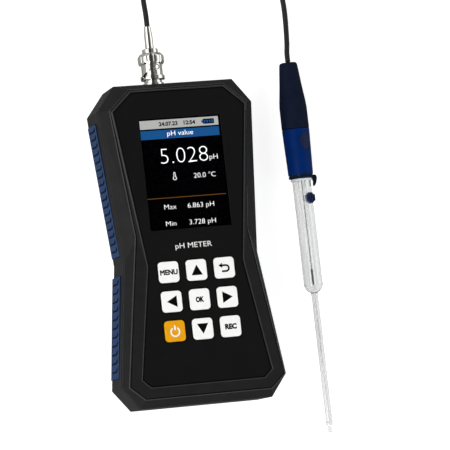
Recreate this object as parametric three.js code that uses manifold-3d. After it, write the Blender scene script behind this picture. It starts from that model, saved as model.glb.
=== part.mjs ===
// A hand-held pH meter lying on its back, with its combination electrode beside it on a coaxial lead.
// Millimetres, +Z up. The origin is the middle of the meter's back face, and +Y points to the connector end.
import * as THREE from 'three';
import { mergeVertices } from 'three/addons/utils/BufferGeometryUtils.js';
import Module from 'manifold-3d';

const wasm = await Module();
wasm.setup();

// ---------- Driving dimensions ----------

// Half outlines of the case at its levels, as [half width, y] of five corners.
const half = (foot, hip, waist, shoulder, top) => ({ foot, hip, waist, shoulder, top });
const BACK = half([35.2, -84.8], [44.2, -73.2], [35.9, -7.8], [42.2, 72.2], [32.2, 84.8]);
const CREASE = half([35.9, -85], [44.9, -73.3], [36.4, -7.8], [42.3, 72.3], [32.7, 85]);
const FRAME = half([34.4, -80.5], [42.2, -73.5], [30.5, 4.2], [37.3, 71.4], [26.2, 81.6]);
const FACE = half([31.2, -75.1], [35.9, -70.7], [26.4, -11.7], [36.6, 70.8], [25.6, 80.8]);

const LEVEL = { back: 0, split: 22.5, crease: 25.2, frame: 31.2, face: 32 };
const SPLIT_GAP = 0.1; // between the two covers
const SPLIT_CHAMFER = 0.7; // each cover's half of the groove along the split
const BACK_CHAMFER = 1.1;
const REAR_WALL = 3.2;
const FRONT_WALL = 2.2;
const FLOOR = 2.2;
const CEILING = 29.2; // underside of the front wall
const OVERLAY_FLOOR = 31.1; // recess that the printed overlay lies in
const OVERLAY = { bottom: 31.2, thick: 0.4, recess: 0.4, edge: 0.7 };

const SCREEN = { y: 36.4, width: 44.8, height: 59.2 };
const WINDOW = { width: 48, height: 62.4, bottom: 29.1, thick: 1.1, play: 0.2, roof: 30.3 };
const MODULE = { width: 50, height: 69.2, bottom: 24.6, thick: 4.4 };

const KEY = { size: 11, corner: 1.8, pitchX: 15.25, pitchY: 15.5, midY: -30.95, top: 32.4 };
const KEY_FLANGE = { size: 12.8, bottom: 28.1, thick: 1 };
const KEY_HOLE = 11.4;
const KEY_ROWS = [
  ['menu', 'up', 'back'],
  ['left', 'ok', 'right'],
  ['power', 'down', 'rec'],
];
const MAT = { size: 47, bottom: 23.4, thick: 0.9, domeTop: 27.1, domeRadius: 3.6 };

const BOARD = { halfWidth: 27, low: -70, high: 66, bottom: 21.5, thick: 1.6 };
const BOARD_TONGUE = { left: 5, right: 22, high: 79 };
const BATTERY = { width: 36, length: 54, height: 9, y: -25, bottom: 2.8 };
const CAN = { x: -8, y: 47, width: 20, length: 22, height: 2.6, wall: 0.4 };
const USB = { x: 13.5, z: 19.7, width: 8.4, height: 3, length: 7, mouth: 84.4, wall: 0.6, play: 0.4 };

const CASE_SCREWS = [[33, 66], [34, -66]];
const CASE_SCREW = { head: 2.8, shank: 1.35, headBottom: 2.6, headTop: 4.4, end: 26 };
const CASE_BOSS = { rear: 4, front: 3.5, split: 20, bore: 1.7, counterbore: 3.2, seat: 4.5 };
const BOARD_SCREWS = [[23.5, 58], [23.5, -64]];
const BOARD_SCREW = { head: 2.2, shank: 1, headTop: 24.3, end: 13 };
const BOARD_BOSS = { radius: 2.6, top: 21.3, bore: 1.3 };

// Grip inserts on the case's sides: each runs along one side of the outline between two heights.
const GRIP = { bottom: 1.4, top: 17.6, depth: 1.4, play: 0.3, proud: 0.7, rib: 2.3 };
const GRIPS = [
  { name: 'upper', from: 'waist', to: 'shoulder', low: -3.9, high: 67.1, ribs: 17 },
  { name: 'lower', from: 'hip', to: 'waist', low: -67.8, high: -13.9, ribs: 11 },
];

// The BNC connector's axis, and places along it as heights of y.
const JACK = { x: -7.4, z: 14.5, thread: 4.75, hole: 5.05, bore: 3.3, rear: 74, end: 96.6 };
const JACK_FLANGE = { radius: 5.6, low: 85.1, high: 86.8 };
const JACK_NUT = { corner: 7.3, low: 78.3, high: 80.7 };
const BAYONET = { barrel: 4.7, bore: 4.1, travel: 5, turn: Math.PI / 2 };
const LUG = { radius: 0.9, reach: 5.35, y: 95, angle: -1.264 };
const NUT = { front: 88.5, flange: 6.4, barrel: 5.55, bore: 4.95, ring: 7, ringLow: 96.8, ringHigh: 102.7 };
const SLOT = { half: 1.2, detent: 1.4, steps: 10 };
const SLEEVE = { low: 105.5, high: 117.4, wide: 2.25, slim: 1.75 };

// The electrode: local y runs along its axis from the joint of its cap's two halves, towards the cable.
const PROBE = { x: 71.25, y: 58.3, z: 7.4, yaw: 0.01306, tilt: 0.02807 };
const CAP = { joint: 7.4, seam: -0.45, low: -25.3, lowRadius: 6.7, bore: 5.3, top: 35.7, topRadius: 4.8 };
const RING = { high: -25.6, low: -27.1, radius: 6.6 };
const COLLAR = { high: -27.4, low: -28.6, radius: 5.75, bore: 5.3 };
const GLASS = { tube: 5, tubeBore: 4.1, high: -3, shoulder: -85.5, neck: -89, low: -160.5 };
const STEM = { radius: 1.75, bore: 1.15 };
const INNER = { wide: 2.1, wideBore: 1.5, high: -6, coneHigh: -41 };
const INNER_STEM = { radius: 0.75, bore: 0.5, coneLow: -55, low: -153 };
const MEASURING = { wire: 0.2, element: 0.36, elementHigh: -154.2, low: -159.4, high: -8 };
const REFERENCE = { wire: 0.15, angle: 1.87, wideReach: 3.1, reach: 1.7, bend: -56 };
const REFERENCE_ELEMENT = { radius: 0.5, high: -76.4, low: -85 };
const TIP = { high: -160.8, radius: 1.25, low: -164.3 };
const BADGE = { y: -7.3, halfLength: 4.7, halfWidth: 3.2, angle: 1.218, play: 0.3, sink: 0.3, proud: 0.12 };
const STOPPER = { y: -38.4, angle: 1.3, stem: 1.45, stemLow: 4.3 };
const STOPPER_HEAD = { radius: 3.1, low: 5.9, high: 6.8, finHigh: 7.8 };
const FILL_NECK = { radius: 2.5, bore: 1.8, high: 5.6 };

// The lead: a 2.8 mm coaxial cable, 1 m long, its spare length wound in a flat coil of two layers.
const CABLE = { radius: 1.4, sides: 8 };
const COIL = { x: 40, y: 164, inner: 11.7, outer: 24.8, bottom: 0.8, high: 6.4 };
const TIE = { thick: 0.5, play: 0.3, width: 3 };
const LEAD_GAP = 0.3;
// Each cable end's route, from the plug to the coil and from the coil to the electrode's cap.
const METER_ROUTE = [
  [-7.4, 117.7, 14.5], [-7.4, 124, 14.2], [-7.2, 130.5, 12.2], [-6.2, 137, 8.5], [-4, 143, 4.9],
  [-0.6, 148.6, 2.8], [3.6, 153.8, 2.25], [8, 158.8, 2.2], [12.4, 164, 2.2],
];
const PROBE_ROUTE = [
  [66.4, 158.7, 4.4], [68.6, 152.6, 3.2], [70.6, 146.4, 2.1], [72.3, 140, 1.55], [73.7, 133, 1.5],
  [74.3, 126, 1.6], [74.1, 118.8, 2.4], [73.2, 111.6, 4.3], [71.95, 104.2, 6.8], [71, 99.4, 8],
  [70.82, 94.6, 8.4],
];

// ---------- Materials ----------

const finish = (color, roughness, metalness = 0) =>
  new THREE.MeshStandardMaterial({ color, roughness, metalness });
const glass = new THREE.MeshStandardMaterial({
  color: 0xdfe6e8,
  roughness: 0.08,
  transparent: true,
  opacity: 0.35,
});
const M = {
  casing: finish(0x242424, 0.6),
  overlay: finish(0x1a1a1a, 0.7),
  grip: finish(0x324a80, 0.75),
  screen: finish(0x060608, 0.1),
  electronics: finish(0x1f5a3a, 0.6),
  tin: finish(0xb9bcc0, 0.35, 1),
  battery: finish(0x9aa0a8, 0.5),
  mat: finish(0x3a3c40, 0.85),
  whiteKey: finish(0xf4f4f2, 0.5),
  orangeKey: finish(0xf8a312, 0.5),
  nickel: finish(0xc9c7c0, 0.22, 1),
  gold: finish(0xd4af5a, 0.3, 1),
  ptfe: finish(0xf2efe8, 0.5),
  sealRubber: finish(0x8a3a30, 0.8),
  cable: finish(0x2b2c2e, 0.6),
  navy: finish(0x1b1f30, 0.6),
  blue: finish(0x0f357c, 0.4),
  stopper: finish(0x3d4a68, 0.7),
  silicone: finish(0xf3f4f4, 0.5),
  silver: finish(0x55504a, 0.4, 1),
  steel: finish(0x4a4c50, 0.4, 1),
};

// ---------- Shape helpers ----------

const vec = ([x, y]) => new THREE.Vector2(x, y);
const mix = (a, b, t) => a + (b - a) * t;

// The closed outline of the case at one level, anticlockwise.
function outline(half) {
  const right = [half.foot, half.hip, half.waist, half.shoulder, half.top];
  const left = right.toReversed().map(([x, y]) => [-x, y]);
  return [...right, ...left].map(vec);
}

// The outline a share of the way from one half outline to another.
function between(low, high, share) {
  const corner = (name) => low[name].map((value, i) => mix(value, high[name][i], share));
  return outline(Object.fromEntries(Object.keys(low).map((name) => [name, corner(name)])));
}

// An anticlockwise outline moved inwards by a distance.
function inset(points, distance) {
  const side = (a, b) => {
    const along = b.clone().sub(a).normalize();
    const inward = new THREE.Vector2(-along.y, along.x).multiplyScalar(distance);
    return { start: a.clone().add(inward), along };
  };
  return points.map((point, i) => {
    const before = side(points.at(i - 1), point);
    const after = side(point, points[(i + 1) % points.length]);
    const gap = after.start.clone().sub(before.start);
    const share = gap.cross(after.along) / before.along.cross(after.along);
    return before.start.clone().addScaledVector(before.along, share);
  });
}

// A closed solid through outlines of equal count, each at its own height.
function loft(sections) {
  const count = sections[0].points.length;
  const positions = sections.flatMap(({ z, points }) => points.flatMap((p) => [p.x, p.y, z]));
  const index = [];
  for (let level = 0; level + 1 < sections.length; level++) {
    for (let i = 0; i < count; i++) {
      const a = level * count + i;
      const b = level * count + ((i + 1) % count);
      index.push(a, b, b + count, a, b + count, a + count);
    }
  }
  const last = (sections.length - 1) * count;
  for (const [a, b, c] of THREE.ShapeUtils.triangulateShape(sections[0].points, [])) index.push(c, b, a);
  for (const [a, b, c] of THREE.ShapeUtils.triangulateShape(sections.at(-1).points, [])) {
    index.push(last + a, last + b, last + c);
  }
  const geometry = new THREE.BufferGeometry();
  geometry.setAttribute('position', new THREE.Float32BufferAttribute(positions, 3));
  geometry.setIndex(index);
  return geometry;
}

// A rectangle with round corners, centred on the origin.
function roundedRect(width, height, corner) {
  const shape = new THREE.Shape();
  const x = width / 2 - corner;
  const y = height / 2 - corner;
  shape.absarc(x, -y, corner, -Math.PI / 2, 0);
  shape.absarc(x, y, corner, 0, Math.PI / 2);
  shape.absarc(-x, y, corner, Math.PI / 2, Math.PI);
  shape.absarc(-x, -y, corner, Math.PI, 1.5 * Math.PI);
  return shape;
}

function prism(shape, bottom, top, curveSegments = 2) {
  const options = { depth: top - bottom, bevelEnabled: false, curveSegments };
  return new THREE.ExtrudeGeometry(shape, options).translate(0, 0, bottom);
}
const plate = (points, bottom, top) => prism(new THREE.Shape(points), bottom, top);
const box = (width, length, height, x, y, bottom) =>
  new THREE.BoxGeometry(width, length, height).translate(x, y, bottom + height / 2);
const post = (radius, x, y, bottom, top, sides = 12) =>
  new THREE.CylinderGeometry(radius, radius, top - bottom, sides)
    .rotateX(Math.PI / 2)
    .translate(x, y, (bottom + top) / 2);

// A solid of revolution about the y axis. The profile runs up its outside and, if hollow, back down its bore.
function turned(profile, sides = 20) {
  const hollow = profile.every(([radius]) => radius > 0);
  const points = (hollow ? [...profile, profile[0]] : profile).map(vec);
  return new THREE.LatheGeometry(points, sides);
}

// A plain tube about the y axis.
const ring = (radius, bore, low, high, sides = 20) =>
  turned([[radius, low], [radius, high], [bore, high], [bore, low]], sides);

// A round bar about the y axis.
const bar = (radius, low, high, sides = 12) =>
  turned([[0, low], [radius, low], [radius, high], [0, high]], sides);

// A cable along a smooth curve through points.
function cable(points, radius, steps) {
  const path = new THREE.CatmullRomCurve3(points.map((p) => new THREE.Vector3(...p)));
  const section = new THREE.Shape();
  for (let i = 0; i < CABLE.sides; i++) {
    const angle = (2 * Math.PI * i) / CABLE.sides;
    const place = [radius * Math.cos(angle), radius * Math.sin(angle)];
    if (i === 0) section.moveTo(...place);
    else section.lineTo(...place);
  }
  return new THREE.ExtrudeGeometry(section, { steps, extrudePath: path, bevelEnabled: false });
}

function solid(geometry) {
  const bare = geometry.clone();
  bare.deleteAttribute('normal');
  bare.deleteAttribute('uv');
  const merged = mergeVertices(bare, 1e-4);
  return new wasm.Manifold(
    new wasm.Mesh({
      numProp: 3,
      vertProperties: merged.attributes.position.array,
      triVerts: new Uint32Array(merged.index.array),
    }),
  );
}

// One solid less others, and several solids joined.
const cut = (body, ...tools) => tools.reduce((left, tool) => left.subtract(tool), body);
const join = (first, ...rest) => rest.reduce((sum, next) => sum.add(next), first);

function surface(body) {
  const mesh = body.getMesh();
  const geometry = new THREE.BufferGeometry();
  geometry.setAttribute('position', new THREE.Float32BufferAttribute(mesh.vertProperties, 3));
  geometry.setIndex([...mesh.triVerts]);
  return geometry;
}

// ---------- Scene graph ----------

const meter = new THREE.Group();
const connector = new THREE.Group(); // axis along y
connector.position.set(JACK.x, 0, JACK.z);
const lead = new THREE.Group();
const electrode = new THREE.Group();
electrode.position.set(PROBE.x, PROBE.y, PROBE.z);
electrode.rotation.set(PROBE.tilt, 0, PROBE.yaw);

function add(group, name, geometry, material) {
  const mesh = new THREE.Mesh(geometry, material);
  mesh.name = name;
  group.add(mesh);
  return mesh;
}

// ---------- Keys and their mat ----------

const keys = KEY_ROWS.flatMap((row, j) =>
  row.map((name, i) => ({ name, x: (i - 1) * KEY.pitchX, y: KEY.midY + (1 - j) * KEY.pitchY })),
);
const keyHoles = (bottom, top, size) =>
  keys.map(({ x, y }) => solid(prism(roundedRect(size, size, KEY.corner), bottom, top).translate(x, y, 0)));

for (const { name, x, y } of keys) {
  const flange = roundedRect(KEY_FLANGE.size, KEY_FLANGE.size, KEY.corner);
  const flangeTop = KEY_FLANGE.bottom + KEY_FLANGE.thick;
  const body = join(
    solid(prism(roundedRect(KEY.size, KEY.size, KEY.corner), KEY_FLANGE.bottom, KEY.top)),
    solid(prism(flange, KEY_FLANGE.bottom, flangeTop)),
  );
  const key = add(meter, `key_${name}`, surface(body), name === 'power' ? M.orangeKey : M.whiteKey);
  key.position.set(x, y, 0);
}

const matBase = solid(box(MAT.size, MAT.size, MAT.thick, 0, KEY.midY, MAT.bottom));
const domes = keys.map(({ x, y }) => solid(post(MAT.domeRadius, x, y, MAT.bottom, MAT.domeTop)));
add(meter, 'keypad_mat', surface(join(matBase, ...domes)), M.mat);

// ---------- Front cover, overlay and display ----------

const mirrored = (places) => places.flatMap(([x, y]) => [[x, y], [-x, y]]);
const screenHole = (bottom, top) =>
  solid(prism(roundedRect(SCREEN.width, SCREEN.height, 0.6), bottom, top, 1).translate(0, SCREEN.y, 0));

function frontCover() {
  const shell = solid(loft([
    { z: LEVEL.split, points: inset(outline(CREASE), SPLIT_CHAMFER) },
    { z: LEVEL.split + SPLIT_CHAMFER, points: outline(CREASE) },
    { z: LEVEL.crease, points: outline(CREASE) },
    { z: LEVEL.frame, points: outline(FRAME) },
    { z: LEVEL.face, points: outline(FACE) },
  ]));
  const ceilingShare = (CEILING - LEVEL.crease) / (LEVEL.frame - LEVEL.crease);
  const hollow = solid(loft([
    { z: LEVEL.split - 1, points: inset(outline(CREASE), FRONT_WALL) },
    { z: LEVEL.crease, points: inset(outline(CREASE), FRONT_WALL) },
    { z: CEILING, points: inset(between(CREASE, FRAME, ceilingShare), FRONT_WALL) },
  ]));
  const recess = solid(plate(inset(outline(FACE), OVERLAY.recess), OVERLAY_FLOOR, LEVEL.face + 1));
  const pocketWidth = WINDOW.width + 2 * WINDOW.play;
  const pocketHeight = WINDOW.height + 2 * WINDOW.play;
  const pocket = solid(box(pocketWidth, pocketHeight, WINDOW.roof - CEILING + 1, 0, SCREEN.y, CEILING - 1));
  const bosses = mirrored(CASE_SCREWS).map(([x, y]) =>
    cut(
      solid(post(CASE_BOSS.front, x, y, CASE_BOSS.split + LEAD_GAP, CEILING + 1)),
      solid(post(CASE_BOSS.bore, x, y, CASE_BOSS.split, CASE_SCREW.end + 1)),
    ),
  );
  const walls = cut(
    shell,
    hollow,
    recess,
    pocket,
    screenHole(CEILING - 1, LEVEL.face + 1),
    ...keyHoles(CEILING - 1, LEVEL.face + 1, KEY_HOLE),
  );
  return join(walls, ...bosses);
}
add(meter, 'front_cover', surface(frontCover()), M.casing);

const overlayTop = OVERLAY.bottom + OVERLAY.thick;
const overlay = cut(
  solid(plate(inset(outline(FACE), OVERLAY.edge), OVERLAY.bottom, overlayTop)),
  screenHole(OVERLAY.bottom - 1, overlayTop + 1),
  ...keyHoles(OVERLAY.bottom - 1, overlayTop + 1, KEY_HOLE),
);
add(meter, 'face_overlay', surface(overlay), M.overlay);
const displayWindow = box(WINDOW.width, WINDOW.height, WINDOW.thick, 0, SCREEN.y, WINDOW.bottom);
add(meter, 'display_window', displayWindow, M.screen);
const displayModule = box(MODULE.width, MODULE.height, MODULE.thick, 0, SCREEN.y, MODULE.bottom);
add(meter, 'display_module', displayModule, M.tin);

// ---------- Rear cover and grips ----------

// A grip's frame: its middle on the outline's side, and the angle of that side.
function gripFrame({ from, to, low, high }, sign) {
  const [a, b] = [CREASE[from], CREASE[to]].sort((p, q) => p[1] - q[1]);
  const at = (y) => sign * mix(a[0], b[0], (y - a[1]) / (b[1] - a[1]));
  const start = new THREE.Vector2(at(low), low);
  const end = new THREE.Vector2(at(high), high);
  const middle = start.clone().add(end).multiplyScalar(0.5);
  return { middle, length: end.distanceTo(start), angle: Math.atan2(end.x - start.x, end.y - start.y) };
}

function placeGrip(geometry, frame, sign) {
  const facing = sign < 0 ? Math.PI : 0;
  return geometry.rotateZ(facing - frame.angle).translate(frame.middle.x, frame.middle.y, 0);
}

// A grip's plan: a flat strip whose outer side, towards +x, carries round-topped ribs.
function gripPlan(length, ribs) {
  const inner = GRIP.play - GRIP.depth;
  const half = length / 2 - GRIP.play;
  const pitch = (2 * half) / ribs;
  const shape = new THREE.Shape();
  shape.moveTo(inner, half);
  shape.lineTo(inner, -half);
  shape.lineTo(0, -half);
  for (let i = 0; i < ribs; i++) {
    const middle = -half + pitch * (i + 0.5);
    shape.lineTo(0, middle - GRIP.rib / 2);
    shape.lineTo(GRIP.proud, middle - GRIP.rib / 4);
    shape.lineTo(GRIP.proud, middle + GRIP.rib / 4);
    shape.lineTo(0, middle + GRIP.rib / 2);
  }
  shape.lineTo(0, half);
  return shape;
}

function rearCover() {
  const top = LEVEL.split - SPLIT_GAP;
  const shell = solid(loft([
    { z: LEVEL.back, points: inset(outline(BACK), BACK_CHAMFER) },
    { z: LEVEL.back + BACK_CHAMFER, points: outline(BACK) },
    { z: top - SPLIT_CHAMFER, points: outline(CREASE) },
    { z: top, points: inset(outline(CREASE), SPLIT_CHAMFER) },
  ]));
  const hollow = solid(loft([
    { z: FLOOR, points: inset(outline(BACK), REAR_WALL) },
    { z: LEVEL.split + 1, points: inset(outline(CREASE), REAR_WALL) },
  ]));
  const pockets = [1, -1].flatMap((sign) =>
    GRIPS.map((grip) => {
      const frame = gripFrame(grip, sign);
      const pocket = box(2 * GRIP.depth, frame.length, GRIP.top - GRIP.bottom, 0, 0, GRIP.bottom);
      return solid(placeGrip(pocket, frame, sign));
    }),
  );
  const jackHole = solid(bar(JACK.hole, 60, 100, 24).translate(JACK.x, 0, JACK.z));
  const usbWidth = USB.width + 2 * USB.play;
  const usbHeight = USB.height + 2 * USB.play;
  const usbHole = solid(box(usbWidth, 2 * USB.length, usbHeight, USB.x, USB.mouth, USB.z - usbHeight / 2));
  const bosses = [
    ...mirrored(CASE_SCREWS).map(([x, y]) => solid(post(CASE_BOSS.rear, x, y, 1, CASE_BOSS.split))),
    ...mirrored(BOARD_SCREWS).map(([x, y]) => solid(post(BOARD_BOSS.radius, x, y, 1, BOARD_BOSS.top))),
  ];
  const bores = [
    ...mirrored(CASE_SCREWS).flatMap(([x, y]) => [
      solid(post(CASE_BOSS.counterbore, x, y, -1, CASE_BOSS.seat, 16)),
      solid(post(CASE_BOSS.bore, x, y, 0, CASE_BOSS.split + 1)),
    ]),
    ...mirrored(BOARD_SCREWS).map(([x, y]) => solid(post(BOARD_BOSS.bore, x, y, 10, BOARD_BOSS.top + 1))),
  ];
  const walls = cut(shell, hollow, ...pockets, jackHole, usbHole);
  return cut(join(walls, ...bosses), ...bores);
}
add(meter, 'rear_cover', surface(rearCover()), M.casing);

for (const [side, sign] of [['right', 1], ['left', -1]]) {
  for (const grip of GRIPS) {
    const frame = gripFrame(grip, sign);
    const plan = gripPlan(frame.length, grip.ribs);
    const strip = prism(plan, GRIP.bottom + GRIP.play, GRIP.top - GRIP.play);
    add(meter, `grip_${side}_${grip.name}`, placeGrip(strip, frame, sign), M.grip);
  }
}

// ---------- Inside the case ----------

const boardPlan = [
  [-BOARD.halfWidth, BOARD.low],
  [BOARD.halfWidth, BOARD.low],
  [BOARD.halfWidth, BOARD.high],
  [BOARD_TONGUE.right, BOARD.high],
  [BOARD_TONGUE.right, BOARD_TONGUE.high],
  [BOARD_TONGUE.left, BOARD_TONGUE.high],
  [BOARD_TONGUE.left, BOARD.high],
  [-BOARD.halfWidth, BOARD.high],
].map(vec);
const boardTop = BOARD.bottom + BOARD.thick;
const board = cut(
  solid(plate(boardPlan, BOARD.bottom, boardTop)),
  ...mirrored(BOARD_SCREWS).map(([x, y]) => solid(post(BOARD_BOSS.bore, x, y, 0, LEVEL.face))),
);
add(meter, 'main_board', surface(board), M.electronics);
const batteryPack = box(BATTERY.width, BATTERY.length, BATTERY.height, 0, BATTERY.y, BATTERY.bottom);
add(meter, 'battery_pack', batteryPack, M.battery);

const canTop = BOARD.bottom - 0.2;
const canInner = [CAN.width - 2 * CAN.wall, CAN.length - 2 * CAN.wall];
const shieldCan = cut(
  solid(box(CAN.width, CAN.length, CAN.height, CAN.x, CAN.y, canTop - CAN.height)),
  solid(box(...canInner, CAN.height, CAN.x, CAN.y, canTop - CAN.height + CAN.wall)),
);
add(meter, 'shield_can', surface(shieldCan), M.tin);

const usbMiddle = USB.mouth - USB.length / 2;
const usbOpening = [USB.width - 2 * USB.wall, USB.length, USB.height - 2 * USB.wall];
const usbSocket = cut(
  solid(box(USB.width, USB.length, USB.height, USB.x, usbMiddle, USB.z - USB.height / 2)),
  solid(box(...usbOpening, USB.x, usbMiddle + USB.wall, USB.z - usbOpening[2] / 2)),
);
add(meter, 'usb_socket', surface(usbSocket), M.tin);

mirrored(CASE_SCREWS).forEach(([x, y], i) => {
  const screw = join(
    solid(post(CASE_SCREW.head, x, y, CASE_SCREW.headBottom, CASE_SCREW.headTop)),
    solid(post(CASE_SCREW.shank, x, y, CASE_SCREW.headBottom, CASE_SCREW.end, 8)),
  );
  add(meter, `case_screw_${i + 1}`, surface(screw), M.steel);
});
mirrored(BOARD_SCREWS).forEach(([x, y], i) => {
  const screw = join(
    solid(post(BOARD_SCREW.head, x, y, boardTop + SPLIT_GAP, BOARD_SCREW.headTop, 10)),
    solid(post(BOARD_SCREW.shank, x, y, BOARD_SCREW.end, BOARD_SCREW.headTop, 8)),
  );
  add(meter, `board_screw_${i + 1}`, surface(screw), M.steel);
});

// ---------- BNC jack ----------

// A radial peg in the connector's frame, used for the jack's lugs and the nut's detents.
const peg = (radius, inner, outer, y, angle) =>
  new THREE.CylinderGeometry(radius, radius, outer - inner, 12)
    .rotateZ(-Math.PI / 2)
    .translate((inner + outer) / 2, y, 0)
    .rotateY(angle);

const jackShell = solid(turned([
  [JACK.thread, JACK.rear],
  [JACK.thread, JACK_FLANGE.low],
  [JACK_FLANGE.radius, JACK_FLANGE.low],
  [JACK_FLANGE.radius, JACK_FLANGE.high],
  [BAYONET.barrel, JACK_FLANGE.high],
  [BAYONET.barrel, JACK.end],
  [BAYONET.bore, JACK.end],
  [BAYONET.bore, JACK_FLANGE.high],
  [JACK.bore, JACK_FLANGE.high],
  [JACK.bore, JACK.rear],
]));
const lugAngles = [LUG.angle, LUG.angle + Math.PI];
const lugs = lugAngles.map((angle) =>
  solid(peg(LUG.radius, BAYONET.barrel - 0.4, LUG.reach, LUG.y, angle)),
);
add(connector, 'bnc_jack', surface(join(jackShell, ...lugs)), M.nickel);
add(connector, 'jack_insulator', ring(3, 1.5, JACK.rear + 1, 94, 16), M.ptfe);
add(connector, 'jack_contact', ring(1.2, 0.85, JACK.rear - 0.5, 93.5, 12), M.gold);
add(connector, 'jack_washer', ring(6.8, JACK.hole, 80.9, 81.5, 16), M.nickel);
const jackNut = cut(
  solid(bar(JACK_NUT.corner, JACK_NUT.low, JACK_NUT.high, 6)),
  solid(bar(JACK.hole, JACK_NUT.low - 1, JACK_NUT.high + 1, 24)),
);
add(connector, 'jack_nut', surface(jackNut), M.nickel);
const jackLead = [[0, 73.2, 0], [0, 69, 0.2], [-0.4, 65, 2.2], [-1, 61.6, 4.6], [-1.2, 60.3, 6.2]];
add(connector, 'jack_lead', cable(jackLead, 0.8, 10), M.cable);

// ---------- BNC plug ----------

const SLOT_INNER = NUT.bore - 0.6;
const SLOT_OUTER = NUT.flange + 0.6;

// The cutter of a slot's ramp, through the nut's wall along the helix that the lug follows to its detent.
function rampCutter(start) {
  const slope = (BAYONET.turn * NUT.barrel) / BAYONET.travel;
  const leaning = Math.hypot(1, slope);
  const across = { angle: SLOT.half / leaning / NUT.barrel, y: (SLOT.half * slope) / leaning };
  const corners = [];
  for (let i = 0; i <= SLOT.steps; i++) {
    const left = 1 - i / SLOT.steps;
    for (const side of [1, -1]) {
      const angle = start - BAYONET.turn * left - side * across.angle;
      const y = LUG.y - BAYONET.travel * left + side * across.y;
      for (const radius of [SLOT_INNER, SLOT_OUTER]) {
        corners.push([radius * Math.cos(angle), y, -radius * Math.sin(angle)]);
      }
    }
  }
  const end = corners.length - 4;
  const index = [0, 2, 3, 0, 3, 1, end, end + 3, end + 2, end, end + 1, end + 3];
  const sides = [[0, 1, 5, 4], [1, 3, 7, 5], [3, 2, 6, 7], [2, 0, 4, 6]];
  for (let base = 0; base < end; base += 4) {
    for (const [a, b, c, d] of sides) index.push(base + a, base + b, base + c, base + a, base + c, base + d);
  }
  const geometry = new THREE.BufferGeometry();
  geometry.setAttribute('position', new THREE.Float32BufferAttribute(corners.flat(), 3));
  geometry.setIndex(index);
  return solid(geometry);
}

// A whole slot: straight in from the nut's front, round a corner, up the ramp and into the detent.
function slotCutters(start) {
  const corner = { angle: start - BAYONET.turn, y: LUG.y - BAYONET.travel };
  const length = corner.y - NUT.front + 1;
  const mouth = new THREE.BoxGeometry(SLOT_OUTER - SLOT_INNER, length, 2 * SLOT.half)
    .translate((SLOT_INNER + SLOT_OUTER) / 2, corner.y - length / 2, 0)
    .rotateY(corner.angle);
  return [
    solid(mouth),
    solid(peg(SLOT.half, SLOT_INNER, SLOT_OUTER, corner.y, corner.angle)),
    rampCutter(start),
    solid(peg(SLOT.detent, SLOT_INNER, SLOT_OUTER, LUG.y, start)),
  ];
}

const nutBody = solid(turned([
  [NUT.flange, NUT.front],
  [NUT.flange, 90.7],
  [NUT.barrel, 90.9],
  [NUT.barrel, NUT.ringLow],
  [NUT.ring - 0.7, NUT.ringLow],
  [NUT.ring, NUT.ringLow + 1.4],
  [NUT.ring, NUT.ringHigh - 1.8],
  [NUT.ring - 1.3, NUT.ringHigh],
  [4, NUT.ringHigh],
  [4, 100],
  [NUT.bore, 100],
  [NUT.bore, NUT.front],
]));
add(connector, 'coupling_nut', surface(cut(nutBody, ...lugAngles.flatMap(slotCutters))), M.nickel);

const plugBody = turned([
  [3.8, 90.2],
  [3.8, 97.7],
  [4.65, 97.7],
  [4.65, 99.6],
  [3.65, 99.6],
  [3.65, 103],
  [4.2, 103],
  [4.2, 105.2],
  [2.6, 105.2],
  [2.6, 101.4],
  [3.3, 101.4],
  [3.3, 90.2],
]);
add(connector, 'plug_body', plugBody, M.nickel);
add(connector, 'plug_gasket', ring(4.6, 4.1, 96.9, 97.4, 16), M.sealRubber);
add(connector, 'plug_insulator', ring(3, 0.9, 94.4, 101.1, 16), M.ptfe);
const plugPin = turned([[0, 90.6], [0.3, 90.6], [0.55, 91.4], [0.55, 104.8], [0, 104.8]], 10);
add(connector, 'plug_pin', plugPin, M.gold);
const sleeveLength = SLEEVE.high - SLEEVE.low;
const crimpSleeve = turned([
  [0, SLEEVE.low],
  [SLEEVE.wide, SLEEVE.low],
  [SLEEVE.wide, SLEEVE.low + sleeveLength * 0.55],
  [SLEEVE.slim, SLEEVE.high],
  [0, SLEEVE.high],
], 16);
add(connector, 'crimp_sleeve', crimpSleeve, M.nickel);

// ---------- Lead ----------

add(lead, 'cable_meter_end', cable(METER_ROUTE, CABLE.radius, 22), M.cable);
add(lead, 'cable_probe_end', cable(PROBE_ROUTE, CABLE.radius, 26), M.cable);
const coil = ring(COIL.outer, COIL.inner, COIL.bottom, COIL.high, 32).rotateX(Math.PI / 2);
add(lead, 'cable_coil', coil.translate(COIL.x, COIL.y, 0), M.cable);

// A strap round both layers of the coil, on its far side.
function coilTie() {
  const reach = TIE.play + TIE.thick;
  const wide = COIL.outer - COIL.inner;
  const high = COIL.high - COIL.bottom;
  const middle = (COIL.high + COIL.bottom) / 2;
  const outer = box(TIE.width, wide + 2 * reach, high + 2 * reach, 0, 0, middle - high / 2 - reach);
  const opening = [2 * TIE.width, wide + 2 * TIE.play, high + 2 * TIE.play];
  const strap = cut(solid(outer), solid(box(...opening, 0, 0, middle - opening[2] / 2)));
  return surface(strap).translate(COIL.x, COIL.y + (COIL.inner + COIL.outer) / 2, 0);
}
add(lead, 'cable_tie', coilTie(), M.cable);

// ---------- Electrode ----------

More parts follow.
